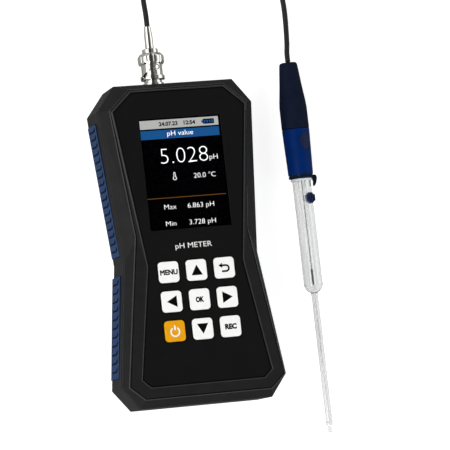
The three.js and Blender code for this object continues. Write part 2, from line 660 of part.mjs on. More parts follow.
const capRadius = (y) => mix(CAP.joint, CAP.lowRadius, y / CAP.low);
const capSleeve = turned([
  [CAP.joint, CAP.seam + 0.15],
  [CAP.joint - 0.05, 12.4],
  [6.1, 22.6],
  [CAP.topRadius + 0.2, 33.6],
  [CAP.topRadius, CAP.top - 0.6],
  [CAP.topRadius - 0.8, CAP.top],
  [1.8, CAP.top],
  [1.8, 12],
  [CAP.bore, 8],
  [CAP.bore, CAP.seam + 0.15],
]);
add(electrode, 'cap_sleeve', capSleeve, M.navy);

// The badge and its shallow pocket share an oval that points out through the cap's wall.
function badgeOval(spare) {
  const oval = new THREE.Shape();
  oval.absellipse(0, 0, BADGE.halfWidth + spare, BADGE.halfLength + spare, 0, 2 * Math.PI);
  return solid(prism(oval, 2, 12, 10).translate(0, BADGE.y, 0).rotateY(Math.PI / 2 - BADGE.angle));
}
function badgeShell(inner, outer) {
  const low = BADGE.y - 8;
  const high = BADGE.y + 6;
  const at = (y, offset) => [capRadius(y) + offset, y];
  return solid(turned([at(low, outer), at(high, outer), at(high, inner), at(low, inner)]));
}
const capWall = solid(turned([
  [CAP.lowRadius, CAP.low],
  [CAP.joint, CAP.seam - 0.15],
  [CAP.bore, CAP.seam - 0.15],
  [CAP.bore, CAP.low],
]));
const badgePocket = badgeOval(BADGE.play).intersect(badgeShell(-BADGE.sink - BADGE.play, 2));
add(electrode, 'electrode_cap', surface(cut(capWall, badgePocket)), M.blue);
const badge = badgeOval(0).intersect(badgeShell(-BADGE.sink, BADGE.proud));
add(electrode, 'cap_badge', surface(badge), M.navy);

// The ring under the cap carries a claw on its right side.
const clawPlan = [
  [6.1, -27], [6.5, -27.3], [6.8, -29.5], [6.5, -31.6], [6.9, -31.8], [7.9, -30.1],
  [8.5, -27.7], [8.3, -26.2], [7.4, -25.7], [6.1, -25.7],
].map(vec);
const capRing = join(
  solid(ring(RING.radius, CAP.bore, RING.low, RING.high)),
  solid(plate(clawPlan, -1.3, 1.3)),
);
add(electrode, 'cap_ring', surface(capRing), M.navy);
add(electrode, 'tube_collar', ring(COLLAR.radius, COLLAR.bore, COLLAR.low, COLLAR.high), M.silicone);

// A round bar pointing out of the electrode's side at the stopper's place, from one radius to another.
const sideBar = (radius, inner, outer, sides = 16) =>
  new THREE.CylinderGeometry(radius, radius, outer - inner, sides)
    .rotateZ(-Math.PI / 2)
    .translate((inner + outer) / 2, STOPPER.y, 0)
    .rotateY(-STOPPER.angle);

const glassOutside = solid(turned([
  [0, GLASS.low],
  [STEM.radius, GLASS.low],
  [STEM.radius, GLASS.neck],
  [2.3, GLASS.neck + 0.5],
  [4.2, GLASS.neck + 1.9],
  [GLASS.tube, GLASS.shoulder],
  [GLASS.tube, GLASS.high],
  [0, GLASS.high],
]));
const glassInside = solid(turned([
  [0, GLASS.low - 1],
  [STEM.bore, GLASS.low - 1],
  [STEM.bore, GLASS.neck + 1],
  [3.4, GLASS.neck + 2.6],
  [GLASS.tubeBore, GLASS.shoulder + 1],
  [GLASS.tubeBore, GLASS.high + 1],
  [0, GLASS.high + 1],
]));
const glassBody = cut(
  join(glassOutside, solid(sideBar(FILL_NECK.radius, 3.6, FILL_NECK.high))),
  glassInside,
  solid(sideBar(FILL_NECK.bore, 2, FILL_NECK.high + 1)),
);
add(electrode, 'glass_body', surface(glassBody), glass);

const innerTube = turned([
  [INNER_STEM.radius, INNER_STEM.low],
  [INNER_STEM.radius, INNER_STEM.coneLow],
  [INNER.wide, INNER.coneHigh],
  [INNER.wide, INNER.high],
  [INNER.wideBore, INNER.high],
  [INNER.wideBore, INNER.coneHigh - 0.6],
  [INNER_STEM.bore, INNER_STEM.coneLow + 0.6],
  [INNER_STEM.bore, INNER_STEM.low],
], 16);
add(electrode, 'inner_tube', innerTube, glass);
const tip = turned([
  [0, TIP.low],
  [0.8, TIP.low + 0.3],
  [TIP.radius, TIP.low + 1.2],
  [TIP.radius, TIP.high],
  [0, TIP.high],
], 16);
add(electrode, 'membrane_tip', tip, glass);

const measuringWire = turned([
  [0, MEASURING.low],
  [MEASURING.element, MEASURING.low],
  [MEASURING.element, MEASURING.elementHigh],
  [MEASURING.wire, MEASURING.elementHigh + 0.3],
  [MEASURING.wire, MEASURING.high],
  [0, MEASURING.high],
], 8);
add(electrode, 'measuring_wire', measuringWire, M.silver);

// The reference wire runs between the tubes, and bends in to the narrow part of the inner one.
const wirePlaces = [
  [REFERENCE.wideReach, INNER.high - 2],
  [REFERENCE.wideReach, INNER.coneHigh],
  [REFERENCE.reach, REFERENCE.bend],
  [REFERENCE.reach, REFERENCE_ELEMENT.high - 1],
];
const wirePath = wirePlaces.map(([reach, y]) => [
  reach * Math.cos(REFERENCE.angle),
  y,
  reach * Math.sin(REFERENCE.angle),
]);
const referenceElement = bar(REFERENCE_ELEMENT.radius, REFERENCE_ELEMENT.low, REFERENCE_ELEMENT.high, 8);
const [elementX, , elementZ] = wirePath.at(-1);
const referenceWire = join(
  solid(cable(wirePath, REFERENCE.wire, 12)),
  solid(referenceElement.translate(elementX, 0, elementZ)),
);
add(electrode, 'reference_wire', surface(referenceWire), M.silver);

// A ribbed stopper closes the filling hole: a stem, a head, and fins along the electrode.
function refillStopper() {
  const grip = solid(sideBar(STOPPER_HEAD.radius, STOPPER_HEAD.high - 0.2, STOPPER_HEAD.finHigh));
  const fins = [-2.1, -0.7, 0.7, 2.1].map((offset) => {
    const height = STOPPER_HEAD.finHigh - STOPPER_HEAD.high + 0.4;
    const fin = new THREE.BoxGeometry(height, 2.2 * STOPPER_HEAD.radius, 0.8);
    const middle = (STOPPER_HEAD.high + STOPPER_HEAD.finHigh) / 2;
    return solid(fin.translate(middle, STOPPER.y, offset).rotateY(-STOPPER.angle)).intersect(grip);
  });
  return join(
    solid(sideBar(STOPPER.stem, STOPPER.stemLow, STOPPER_HEAD.low + 0.2, 10)),
    solid(sideBar(STOPPER_HEAD.radius, STOPPER_HEAD.low, STOPPER_HEAD.high)),
    ...fins,
  );
}
add(electrode, 'refill_stopper', surface(refillStopper()), M.stopper);

const phMeter = new THREE.Group();
phMeter.add(meter, connector, lead, electrode);
export default phMeter;
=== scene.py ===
"""A hand-held pH meter on its back, with its electrode beside it on a coaxial lead.

Lengths are in millimetres. Meshes are made in them and scaled to metres as they become Blender objects.
"""
import math

import bmesh
import bpy
import numpy as np
from mathutils import Matrix, Vector


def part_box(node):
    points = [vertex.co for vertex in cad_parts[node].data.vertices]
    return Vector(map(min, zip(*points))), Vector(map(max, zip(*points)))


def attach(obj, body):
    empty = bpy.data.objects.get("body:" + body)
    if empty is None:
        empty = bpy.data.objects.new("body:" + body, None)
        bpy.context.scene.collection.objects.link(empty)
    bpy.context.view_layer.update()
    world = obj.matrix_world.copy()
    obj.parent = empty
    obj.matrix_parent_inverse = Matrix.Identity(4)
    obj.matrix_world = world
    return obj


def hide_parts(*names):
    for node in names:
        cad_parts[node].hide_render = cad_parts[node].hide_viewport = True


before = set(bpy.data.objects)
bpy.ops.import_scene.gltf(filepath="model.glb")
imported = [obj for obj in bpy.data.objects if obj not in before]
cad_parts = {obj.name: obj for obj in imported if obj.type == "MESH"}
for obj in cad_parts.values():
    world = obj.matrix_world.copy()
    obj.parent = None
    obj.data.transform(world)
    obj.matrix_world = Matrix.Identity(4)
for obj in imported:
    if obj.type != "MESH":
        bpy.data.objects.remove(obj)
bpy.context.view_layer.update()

MM = 0.001
TURN = 2 * math.pi

# ---- Dimensions that the frame's boxes don't give ----

# The BNC connector's axis runs along y, and the electrode's along its own y from the joint of its cap.
CONNECTOR = Matrix.Translation((-7.4, 0, 14.5))
ELECTRODE = (
    Matrix.Translation((71.25, 58.3, 7.4))
    @ Matrix.Rotation(0.02807, 4, "X")
    @ Matrix.Rotation(0.01306, 4, "Z")
)
STOPPER_ANGLE = 1.3
STOPPER = (
    ELECTRODE
    @ Matrix.Translation((0, -38.4, 0))
    @ Matrix.Rotation(-STOPPER_ANGLE, 4, "Y")
    @ Matrix.Rotation(-TURN / 4, 4, "Z")
)

LUG = {"radius": 0.9, "reach": 5.35, "y": 95, "angle": -1.264}
LUG_ANGLES = (LUG["angle"], LUG["angle"] + TURN / 2)
NUT = {
    "front": 88.5, "bore": 4.95, "flange": 6.4, "barrel": 5.55,
    "ring": 7, "ring_low": 96.8, "ring_high": 102.7, "flutes": 12,
}
SLOT = {"half": 1.2, "detent": 1.4, "travel": 5}

CAP = {"joint": 7.4, "seam": -0.45, "low": -25.3, "low_radius": 6.7, "bore": 5.3, "top": 35.7}
BADGE = {"y": -7.3, "facing": 1.218, "half_width": 3.2, "half_length": 4.7}

# Right halves of outlines: of the printed face, of the strip round it, and of the case where it is widest.
FACE = [(31.2, -75.1), (35.9, -70.7), (26.4, -11.7), (36.6, 70.8), (25.6, 80.8)]
FRAME = [(34.4, -80.5), (42.2, -73.5), (30.5, 4.2), (37.3, 71.4), (26.2, 81.6)]
CREASE = [(35.9, -85), (44.9, -73.3), (36.4, -7.8), (42.3, 72.3), (32.7, 85)]
SPLIT = 22.5

KEYS = ("menu", "up", "back", "left", "ok", "right", "power", "down", "rec")
KEY_CAP, KEY_FOOT = 11, 12.8
# Outside and inside sizes of the band of painted shade round each key.
KEY_SHADE_OUTSIDE, KEY_SHADE_INSIDE = 12.3, 11.5
SCREEN_WIDE, SCREEN_TALL = 43.2, 57.6
# Blender's own font has capitals of this height at size 1.
CAPITAL = 0.729

CABLE_RADIUS = 1.4
METER_ROUTE = [
    (-7.4, 117.7, 14.5), (-7.4, 124, 14.2), (-7.2, 130.5, 12.2), (-6.2, 137, 8.5), (-4, 143, 4.9),
    (-0.6, 148.6, 2.8), (3.6, 153.8, 2.25), (8, 158.8, 2.2), (12.4, 164, 2.2),
]
PROBE_ROUTE = [
    (66.4, 158.7, 4.4), (68.6, 152.6, 3.2), (70.6, 146.4, 2.1), (72.3, 140, 1.55), (73.7, 133, 1.5),
    (74.3, 126, 1.6), (74.1, 118.8, 2.4), (73.2, 111.6, 4.3), (71.95, 104.2, 6.8), (71, 99.4, 8),
    (70.82, 94.6, 8.4),
]
COIL = {
    "x": 40, "y": 164, "radius": 23.4, "pitch": 2.8, "low": 2.2, "high": 5.0,
    "turns": 7 + 130 / 360, "start": math.radians(150),
}


# ---- Camera and light ----

def linked(name, data):
    """A new object in the scene."""
    made = bpy.data.objects.new(name, data)
    bpy.context.scene.collection.objects.link(made)
    return made


def add_camera():
    """A long lens from above and to the left of the meter's foot."""
    right = (0.95187, -0.1084, 0.28668)
    up = (0.07596, 0.98962, 0.12197)
    back = (-0.29693, -0.09433, 0.95023)
    data = bpy.data.cameras.new("camera")
    data.sensor_width = 36
    data.lens = 279.7
    data.clip_end = 20
    camera = linked("camera", data)
    place = Matrix((right, up, back)).transposed().to_4x4()
    place.translation = Vector((-527.49, -166.47, 1778.24)) * MM
    camera.matrix_world = place
    bpy.context.scene.camera = camera


def add_light():
    """A white wall on each side, dark overhead and dim near the horizon, and a lamp at the left."""
    world = bpy.data.worlds.new("studio")
    world.use_nodes = True
    bpy.context.scene.world = world
    nodes, links = world.node_tree.nodes, world.node_tree.links
    place = nodes.new("ShaderNodeTexCoord")
    split = nodes.new("ShaderNodeSeparateXYZ")
    lean = nodes.new("ShaderNodeMath")
    lean.operation = "ARCTAN2"
    share = map_range(world.node_tree, -math.pi, math.pi)
    ramp = nodes.new("ShaderNodeValToRGB")
    stops = [(-40, 1.0), (-30, 0.04), (-2, 0.02), (8, 0.12), (36, 0.1), (54, 0.92)]
    while len(ramp.color_ramp.elements) < len(stops):
        ramp.color_ramp.elements.new(0.5)
    for element, (degrees, value) in zip(ramp.color_ramp.elements, stops):
        element.position = 0.5 + degrees / 360
        element.color = (value, value, value, 1)
    horizon = map_range(world.node_tree, 0.1, 0.24, 0.5, 2.0)
    horizon.interpolation_type = "SMOOTHSTEP"
    for output, socket in (
        (place.outputs["Generated"], split.inputs[0]),
        (split.outputs["X"], lean.inputs[0]),
        (split.outputs["Z"], lean.inputs[1]),
        (lean.outputs[0], share.inputs["Value"]),
        (share.outputs[0], ramp.inputs[0]),
        (ramp.outputs[0], nodes["Background"].inputs["Color"]),
        (split.outputs["Z"], horizon.inputs["Value"]),
        (horizon.outputs[0], nodes["Background"].inputs["Strength"]),
    ):
        links.new(output, socket)

    key = bpy.data.lights.new("key", "AREA")
    key.shape = "DISK"
    key.size = 0.9
    key.energy = 14
    light = linked("key", key)
    light.location = (-1.05, -0.7, 1.05)
    light.rotation_euler = Vector(light.location).to_track_quat("Z", "Y").to_euler()
    bpy.context.scene.view_settings.view_transform = "Standard"


# ---- Materials ----

def rgb(code):
    """A web colour as linear light."""
    parts = [int(code[i : i + 2], 16) / 255 for i in (1, 3, 5)]
    return [p / 12.92 if p <= 0.04045 else ((p + 0.055) / 1.055) ** 2.4 for p in parts]


def map_range(tree, *values):
    """Turns a range's low and high ends into two others."""
    node = tree.nodes.new("ShaderNodeMapRange")
    for name, value in zip(("From Min", "From Max", "To Min", "To Max"), values):
        node.inputs[name].default_value = value
    return node


class Look:
    """A procedural material: its nodes, its shader and the slot that it belongs to.

    mottle, polish and grain hold what the methods of those names take. shine is the specular level.
    """

    def __init__(
        self, name, slot, colour, roughness, shine=0.5, mottle=None, polish=None, grain=None, **sockets
    ):
        self.name = name
        self.slot = slot
        self.colour = rgb(colour)
        self.roughness = roughness
        self.material = bpy.data.materials.new(name)
        self.material.use_nodes = True
        self.tree = self.material.node_tree
        self.shader = self.tree.nodes["Principled BSDF"]
        self.set(base_color=(*self.colour, 1), roughness=roughness, specular_ior_level=shine, **sockets)
        self.place = self.add("ShaderNodeTexCoord").outputs["Object"]
        for finish, values in ((self.mottle, mottle), (self.polish, polish), (self.grain, grain)):
            if values:
                finish(*values)

    def set(self, **sockets):
        for name, value in sockets.items():
            title = name.replace("_", " ").title().replace("Ior", "IOR")
            self.shader.inputs[title].default_value = value

    def link(self, output, socket):
        self.tree.links.new(output, socket)

    def add(self, kind, **values):
        node = self.tree.nodes.new(kind)
        for name, value in values.items():
            if name in node.inputs:
                node.inputs[name].default_value = value
            else:
                setattr(node, name, value)
        return node

    def ramp(self, positions, colours):
        ramp = self.add("ShaderNodeValToRGB")
        for element, position, colour in zip(ramp.color_ramp.elements, positions, colours):
            element.position = position
            element.color = (*colour, 1)
        return ramp

    def noise(self, size, detail, stretch=(1, 1, 1)):
        """Noise with features about size across."""
        scaled = self.add("ShaderNodeMapping", Scale=tuple(s / (size * MM) for s in stretch))
        self.link(self.place, scaled.inputs["Vector"])
        noise = self.add("ShaderNodeTexNoise", Scale=1.0, Detail=detail)
        self.link(scaled.outputs[0], noise.inputs["Vector"])
        return noise.outputs["Fac"]

    def mottle(self, size, spread):
        """The colour drifts darker and lighter by a share of itself."""
        shares = (1 - spread, 1 + spread)
        ramp = self.ramp((0.3, 0.7), [[min(1, c * share) for c in self.colour] for share in shares])
        self.link(self.noise(size, 2.0), ramp.inputs["Fac"])
        self.link(ramp.outputs["Color"], self.shader.inputs["Base Color"])

    def polish(self, size, spread, stretch=(1, 1, 1)):
        """The roughness varies by up to spread."""
        ends = max(0.02, self.roughness - spread), min(1, self.roughness + spread)
        share = map_range(self.tree, 0.3, 0.7, *ends)
        self.link(self.noise(size, 3.0, stretch), share.inputs["Value"])
        self.link(share.outputs[0], self.shader.inputs["Roughness"])

    def grain(self, size, depth, strength=1.0):
        """A fine bump of that depth."""
        bump = self.add("ShaderNodeBump", Strength=strength, Distance=depth * MM)
        self.link(self.noise(size, 3.0), bump.inputs["Height"])
        self.link(bump.outputs[0], self.shader.inputs["Normal"])

    def painted_shade(self, dark):
        """Painted shade: the colour is darker where the piece's float attribute of painted light is low."""
        painted_light = self.add("ShaderNodeAttribute", attribute_name="painted_light")
        ramp = self.ramp((0.1, 0.55), (rgb(dark), (1, 1, 1)))
        drift = self.add("ShaderNodeMix", data_type="RGBA", blend_type="MULTIPLY")
        drift.inputs["Factor"].default_value = 1
        own = self.shader.inputs["Base Color"].links[0].from_socket
        self.link(painted_light.outputs["Fac"], ramp.inputs["Fac"])
        self.link(own, drift.inputs["A"])
        self.link(ramp.outputs["Color"], drift.inputs["B"])
        self.link(drift.outputs["Result"], self.shader.inputs["Base Color"])
        return self

    def lets_lamps_through(self, tint):
        """Glass that casts a pale shadow of its tint, as caustics would be too noisy."""
        path = self.add("ShaderNodeLightPath")
        clear = self.add("ShaderNodeBsdfTransparent", Color=(*rgb(tint), 1))
        mix = self.add("ShaderNodeMixShader")
        output = self.tree.nodes["Material Output"]
        self.link(path.outputs["Is Shadow Ray"], mix.inputs[0])
        self.link(self.shader.outputs[0], mix.inputs[1])
        self.link(clear.outputs[0], mix.inputs[2])
        self.link(mix.outputs[0], output.inputs["Surface"])
        return self


def make_looks():
    """Every look by its name, with its slot, colour, roughness, shine, mottle, polish and grain."""
    made = [
        Look("casing", "casing", "#19191a", 0.55, 0.12, (6, 0.12), (0.5, 0.08), (0.35, 0.03, 0.6)),
        # A lighter, glossier copy of the casing, for painted highlights on the face's bead and the frame's
        # ridge.
        Look("bezel", "casing", "#2c2c2d", 0.3, 0.5, (6, 0.1), (0.5, 0.06), (0.35, 0.01, 0.5)),
        Look("overlay", "overlay", "#0e0e0e", 0.65, 0.07, (9, 0.08), (0.3, 0.07), (0.16, 0.008, 0.5)),
        # The grip's blue takes painted shade under its bars' lips and along the strip's edges.
        Look("grip", "grip", "#243a5e", 0.65, 0.1, (3, 0.12), (0.6, 0.1), (0.3, 0.03, 0.6))
        .painted_shade("#0e1c42"),
        Look("window", "screen", "#ffffff", 0.0, transmission_weight=1.0, ior=1.07)
        .lets_lamps_through("#f4f6f8"),
        Look("display", "screen", "#010102", 0.5, 0.0, (5, 0.3)),
        Look("tin", "tin", "#b9bcc0", 0.32, 0.5, (4, 0.05), (1.5, 0.1, (1, 8, 1)), metallic=1.0),
        Look("mat", "mat", "#3a3c40", 0.8, 0.5, (5, 0.08), None, (0.3, 0.02)),
        Look("board", "electronics", "#1f5a3a", 0.45, 0.5, (2.5, 0.15), None, (0.8, 0.03)),
        Look("battery", "battery", "#9aa0a8", 0.4, 0.5, (8, 0.05), None, (2, 0.06), metallic=0.6),
        Look("nickel", "nickel", "#dcdad4", 0.07, 0.5, (3, 0.03), (2, 0.04), (0.7, 0.006, 0.5), metallic=1.0),
        Look("ptfe", "ptfe", "#f2efe8", 0.45, 0.5, (2, 0.04), subsurface_weight=0.2),
        Look("gold", "gold", "#e0b85f", 0.18, 0.5, (1, 0.05), (1, 0.06), metallic=1.0),
        Look("seal", "seal_rubber", "#8a3a30", 0.75, 0.5, (1, 0.1), None, (0.2, 0.02)),
        Look("cable", "cable", "#1d1e20", 0.5, 0.2, (4, 0.12), (1.5, 0.1), (0.25, 0.02, 0.6)),
        Look("tie", "tie", "#1b1b1d", 0.4, 0.5, (2, 0.1), None, (0.4, 0.01)),
        Look("navy", "navy", "#111829", 0.6, 0.03, (4, 0.12), (0.5, 0.08), (0.25, 0.015, 0.6)),
        Look("blue", "cap_blue", "#01245f", 0.45, 0.04, (5, 0.07), (0.8, 0.06), (0.3, 0.008, 0.5)),
        Look("badge", "navy", "#151f3c", 0.5, 0.1, (1.5, 0.15), (0.6, 0.08)),
        Look("silicone", "silicone", "#f1f2f2", 0.4, 0.5, (1.5, 0.04), subsurface_weight=0.3),
        Look("glass", "glass", "#ffffff", 0.0, transmission_weight=1.0, ior=1.47)
        .lets_lamps_through("#f8fafa"),
        Look("silver", "silver", "#4a4540", 0.35, 0.5, (0.4, 0.2), (0.5, 0.1), metallic=0.8),
        Look("wire", "silver", "#d2d2d0", 0.4, 0.3, (0.5, 0.05)),
        # Paler than the fins: a painted highlight on the head where it shows between them.
        Look("stopper", "stopper", "#6a7690", 0.6, 0.3, (1.5, 0.12), None, (0.2, 0.02)),
        Look("fin", "stopper", "#1a2544", 0.6, 0.1, (1.5, 0.12), None, (0.2, 0.02)),
        Look("steel", "steel", "#4a4c50", 0.3, 0.5, (0.8, 0.1), (0.5, 0.1), metallic=1.0),
        Look("white_key", "white_key", "#f2f2f0", 0.45, 0.25, (3, 0.02), (0.6, 0.08), (0.25, 0.008, 0.5)),
        Look("orange_key", "orange_key", "#e09c08", 0.45, 0.2, (3, 0.05), (0.6, 0.08), (0.25, 0.008, 0.5)),
        # Black for printed words and signs on the keys, and for painted shade in the crease, the groove round
        # the face and the gaps round the keys.
        Look("black_print", "overlay", "#040404", 0.7, 0.05, (0.6, 0.2)),
        Look("white_print", "white_key", "#eeeeec", 0.6, 0.1, (0.6, 0.04)),
    ]
    for name, code, strength in (
        ("lit_white", "#f8f8f8", 1.4), ("lit_grey", "#b4b4b2", 1.0), ("lit_blue", "#18528c", 1.0),
        ("lit_amber", "#7c4e22", 1.0), ("lit_black", "#08090c", 1.0),
    ):
        lit = Look(name, "screen", "#040404", 0.6, 0.0, (1.2, 0.1))
        lit.set(emission_color=(*rgb(code), 1), emission_strength=strength)
        made.append(lit)
    return {look.name: look for look in made}


# ---- Meshes ----

def new_piece(name, verts, faces, look, body, place=None, stands_for=(), sharp=32):
    """A mesh piece from points in millimetres, turned into place, that rides on a body."""
    mesh = bpy.data.meshes.new(name)
    mesh.from_pydata([tuple(v) for v in verts], [], faces)
    form = bmesh.new()
    form.from_mesh(mesh)
    bmesh.ops.remove_doubles(form, verts=form.verts, dist=1e-4)
    bmesh.ops.dissolve_degenerate(form, edges=form.edges, dist=1e-5)
    bmesh.ops.recalc_face_normals(form, faces=form.faces)
    form.to_mesh(mesh)
    form.free()
    mesh.transform(Matrix.Scale(MM, 4) @ (place or Matrix.Identity(4)))
    return as_piece(name, mesh, look, body, stands_for, sharp)


def as_piece(name, mesh, look, body, stands_for=(), sharp=32):
    """A piece from a mesh in metres, with a look, that rides on a body and stands for CAD nodes."""
    piece = linked(name, mesh)
    smooth(mesh, sharp)
    if look:
        mesh.materials.clear()
        mesh.materials.append(looks[look].material)
    if stands_for:
        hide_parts(*stands_for)
    if body:
        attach(piece, body)
    return piece


def smooth(mesh, sharp):
    mesh.polygons.foreach_set("use_smooth", [True] * len(mesh.polygons))
    mesh.set_sharp_from_angle(angle=math.radians(sharp))


def as_mesh(thing):
    """An object, modifiers and all, as a new mesh."""
    bpy.context.view_layer.update()
    return bpy.data.meshes.new_from_object(thing.evaluated_get(bpy.context.evaluated_depsgraph_get()))


def clamp(value):
    return min(max(value, 0), 1)


def rounded(points, closed=True, steps=5):
    """A polyline of (x, y, corner radius) points with arcs at its corners."""
    corners = [Vector(p[:2]) for p in points]
    out = []
    for i, (here, point) in enumerate(zip(corners, points)):
        radius = point[2] if len(point) > 2 else 0
        if not radius or (not closed and i in (0, len(points) - 1)):
            out.append(tuple(here))
            continue
        before = corners[i - 1] - here
        after = corners[(i + 1) % len(corners)] - here
        half = before.angle(after) / 2
        reach = min(radius / math.tan(half), 0.48 * before.length, 0.48 * after.length)
        radius = reach * math.tan(half)
        centre = here + (before.normalized() + after.normalized()).normalized() * radius / math.sin(half)
        start = here + before.normalized() * reach - centre
        end = here + after.normalized() * reach - centre
        bend = math.pi - 2 * half
        for step in range(steps + 1):
            t = step / steps
            arm = (start * math.sin((1 - t) * bend) + end * math.sin(t * bend)) / math.sin(bend)
            out.append(tuple(centre + arm))
    return out


def spun(profile, sides=96, dent=None):
    """A solid of revolution about the y axis, of a closed profile of (radius, y).

    dent gives the radius anew from the radius, y and the angle round the axis.
    """
    verts, faces, count = [], [], len(profile)
    for k in range(sides):
        angle = TURN * k / sides
        for radius, y in profile:
            if dent:
                radius = dent(radius, y, angle)
            verts.append((radius * math.cos(angle), y, -radius * math.sin(angle)))
    for k in range(sides):
        here, there = k * count, (k + 1) % sides * count
        for i in range(count):
            j = (i + 1) % count
            if profile[i][0] or profile[j][0]:
                faces.append((here + i, here + j, there + j, there + i))
    return verts, faces


def skinned(sections, closed=False):
    """A solid through (outline, height) sections of equal count: capped, or closed into a ring."""
    count = len(sections[0][0])
    verts = [(x, y, z) for outline, z in sections for x, y in outline]
    total = len(verts)
    faces = [] if closed else [tuple(reversed(range(count))), tuple(range(total - count, total))]
    for base in range(0, total if closed else total - count, count):
        above = (base + count) % total
        for i in range(count):
            j = (i + 1) % count
            faces.append((base + i, base + j, above + j, above + i))
    return verts, faces


def slab(outline, low, high):
    """A prism of an outline of (x, y) points between two heights."""
    return skinned([(outline, low), (outline, high)])


def rectangle(width, height, x=0.0, y=0.0, corner=0.0, steps=6):
    signs = ((-1, -1), (1, -1), (1, 1), (-1, 1))
    return rounded([(x + sx * width / 2, y + sy * height / 2, corner) for sx, sy in signs], steps=steps)


def arc(radius, start, end, x=0.0, y=0.0, steps=24):
    angles = [start + (end - start) * i / steps for i in range(steps + 1)]
    return [(x + radius * math.cos(angle), y + radius * math.sin(angle)) for angle in angles]


def disc(radius, count=32):
    return arc(radius, 0, TURN, steps=count)[:-1]


def turned(form, place):
    """A (verts, faces) form moved by a matrix."""
    return [place @ Vector(v) for v in form[0]], form[1]


def peg(radius, inner, outer, y, angle):
    """A round bar that points out from the y axis."""
    turn = Matrix.Rotation(angle, 4, "Y") @ Matrix.Rotation(TURN / 4, 4, "Y")
    return turned(slab(disc(radius), inner, outer), Matrix.Translation((0, y, 0)) @ turn)


def merged(*forms):
    """Several (verts, faces) forms in one."""
    verts, faces = [], []
    for more_verts, more_faces in forms:
        base = len(verts)
        verts += list(more_verts)
        faces += [tuple(base + i for i in face) for face in more_faces]
    return verts, faces


def both_sides(half):
    """A whole outline from its right half."""
    return [*half, *[(-x, y) for x, y in reversed(half)]]


def band(outer, inner, low, high):
    """A flat band between two outlines."""
    return skinned([(outer, low), (outer, high), (inner, high), (inner, low)], closed=True)


def inset(points, distance):
    """A closed anticlockwise outline moved inwards."""
    corners = [Vector(p) for p in points]
    out = []
    for before, here, after in zip([corners[-1], *corners], corners, [*corners[1:], corners[0]]):
        into = (here - before).normalized()
        away = (after - here).normalized()
        normal = Vector((-into.y - away.y, into.x + away.x)).normalized()
        out.append(here + normal * distance / normal.dot(Vector((-into.y, into.x))))
    return out


def bevelled(piece, width, segments=3, angle=30):
    """Rounds a piece's edges with a modifier."""
    bevel = piece.modifiers.new("bevel", "BEVEL")
    bevel.width = width * MM
    bevel.segments = segments
    bevel.limit_method = "ANGLE"
    bevel.angle_limit = math.radians(angle)
    bevel.harden_normals = True
    return piece


def shaped(piece, tools, operation="DIFFERENCE"):
    """Cuts a piece by other pieces, or joins them to it, for good. The tools are used up."""
    for tool in tools:
        change = piece.modifiers.new("shape", "BOOLEAN")
        change.operation = operation
        change.solver = "EXACT"
        change.object = tool
    result = as_mesh(piece)
    piece.modifiers.clear()
    piece.data = result
    for tool in tools:
        bpy.data.objects.remove(tool)
    smooth(result, 32)
    return piece


def tool(verts, faces, place=None):
    """A form that only cuts or joins."""
    return new_piece("tool", verts, faces, None, None, place)


def node_box(name):
    """A CAD node's lowest and highest corners."""
    low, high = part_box(name)
    return np.array(low) / MM, np.array(high) / MM


def refined(node, name, look, rounds):
    """A finer copy of one of the meter's CAD nodes: its flat faces whole again, and its edges rounded.

    rounds lists (test, width, segments), where test tells from an edge's middle whether it is rounded.
    """
    form = bmesh.new()
    form.from_mesh(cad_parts[node].data)
    bmesh.ops.scale(form, vec=(1 / MM,) * 3, verts=form.verts)
    bmesh.ops.remove_doubles(form, verts=form.verts, dist=1e-3)
    flat = math.radians(1.5)
    bmesh.ops.dissolve_limit(form, angle_limit=flat, verts=form.verts, edges=form.edges)
    for test, width, segments in rounds:
        chosen = [
            edge for edge in form.edges
            if len(edge.link_faces) == 2
            and edge.calc_face_angle(0) > math.radians(7)
            and test((edge.verts[0].co + edge.verts[1].co) / 2)
        ]
        bmesh.ops.bevel(
            form, geom=chosen, offset=width, segments=segments, profile=0.5,
            affect="EDGES", clamp_overlap=True,
        )
    bmesh.ops.triangulate(form, faces=[face for face in form.faces if len(face.verts) > 4])
    mesh = bpy.data.meshes.new(name)
    bmesh.ops.scale(form, vec=(MM,) * 3, verts=form.verts)
    form.to_mesh(mesh)
    form.free()
    piece = as_piece(name, mesh, look, "meter", (node,), 40)
    weighted = piece.modifiers.new("weighted", "WEIGHTED_NORMAL")
    weighted.keep_sharp = True
    return piece


def lettering(name, text, width, height, x, y, z, look, body, thick=0.02, weight=0.0):
    """Flat letters of a given width and capital height about (x, y), lying on z, bolder by a weight."""
    font = bpy.data.curves.new(name, "FONT")
    font.body = text
    font.size = 1
    font.bevel_depth = max(weight, 0)
    font.offset = min(weight, 0)
    font.bevel_resolution = 0
    font.extrude = 0.5
    font.resolution_u = 4
    writer = linked(name, font)
    mesh = as_mesh(writer)
    bpy.data.objects.remove(writer)
    points = np.array([v.co for v in mesh.vertices])
    low, high = points.min(0), points.max(0)
    left = x - width / 2
    for vert, (px, py, pz) in zip(mesh.vertices, points):
        vert.co = (
            (left + (px - low[0]) / (high[0] - low[0]) * width) * MM,
            (y + (py / CAPITAL - 0.5) * height) * MM,
            (z + (pz - low[2]) / (high[2] - low[2]) * thick) * MM,
        )
    return as_piece(name, mesh, look, body, sharp=30)


# ---- Lead ----

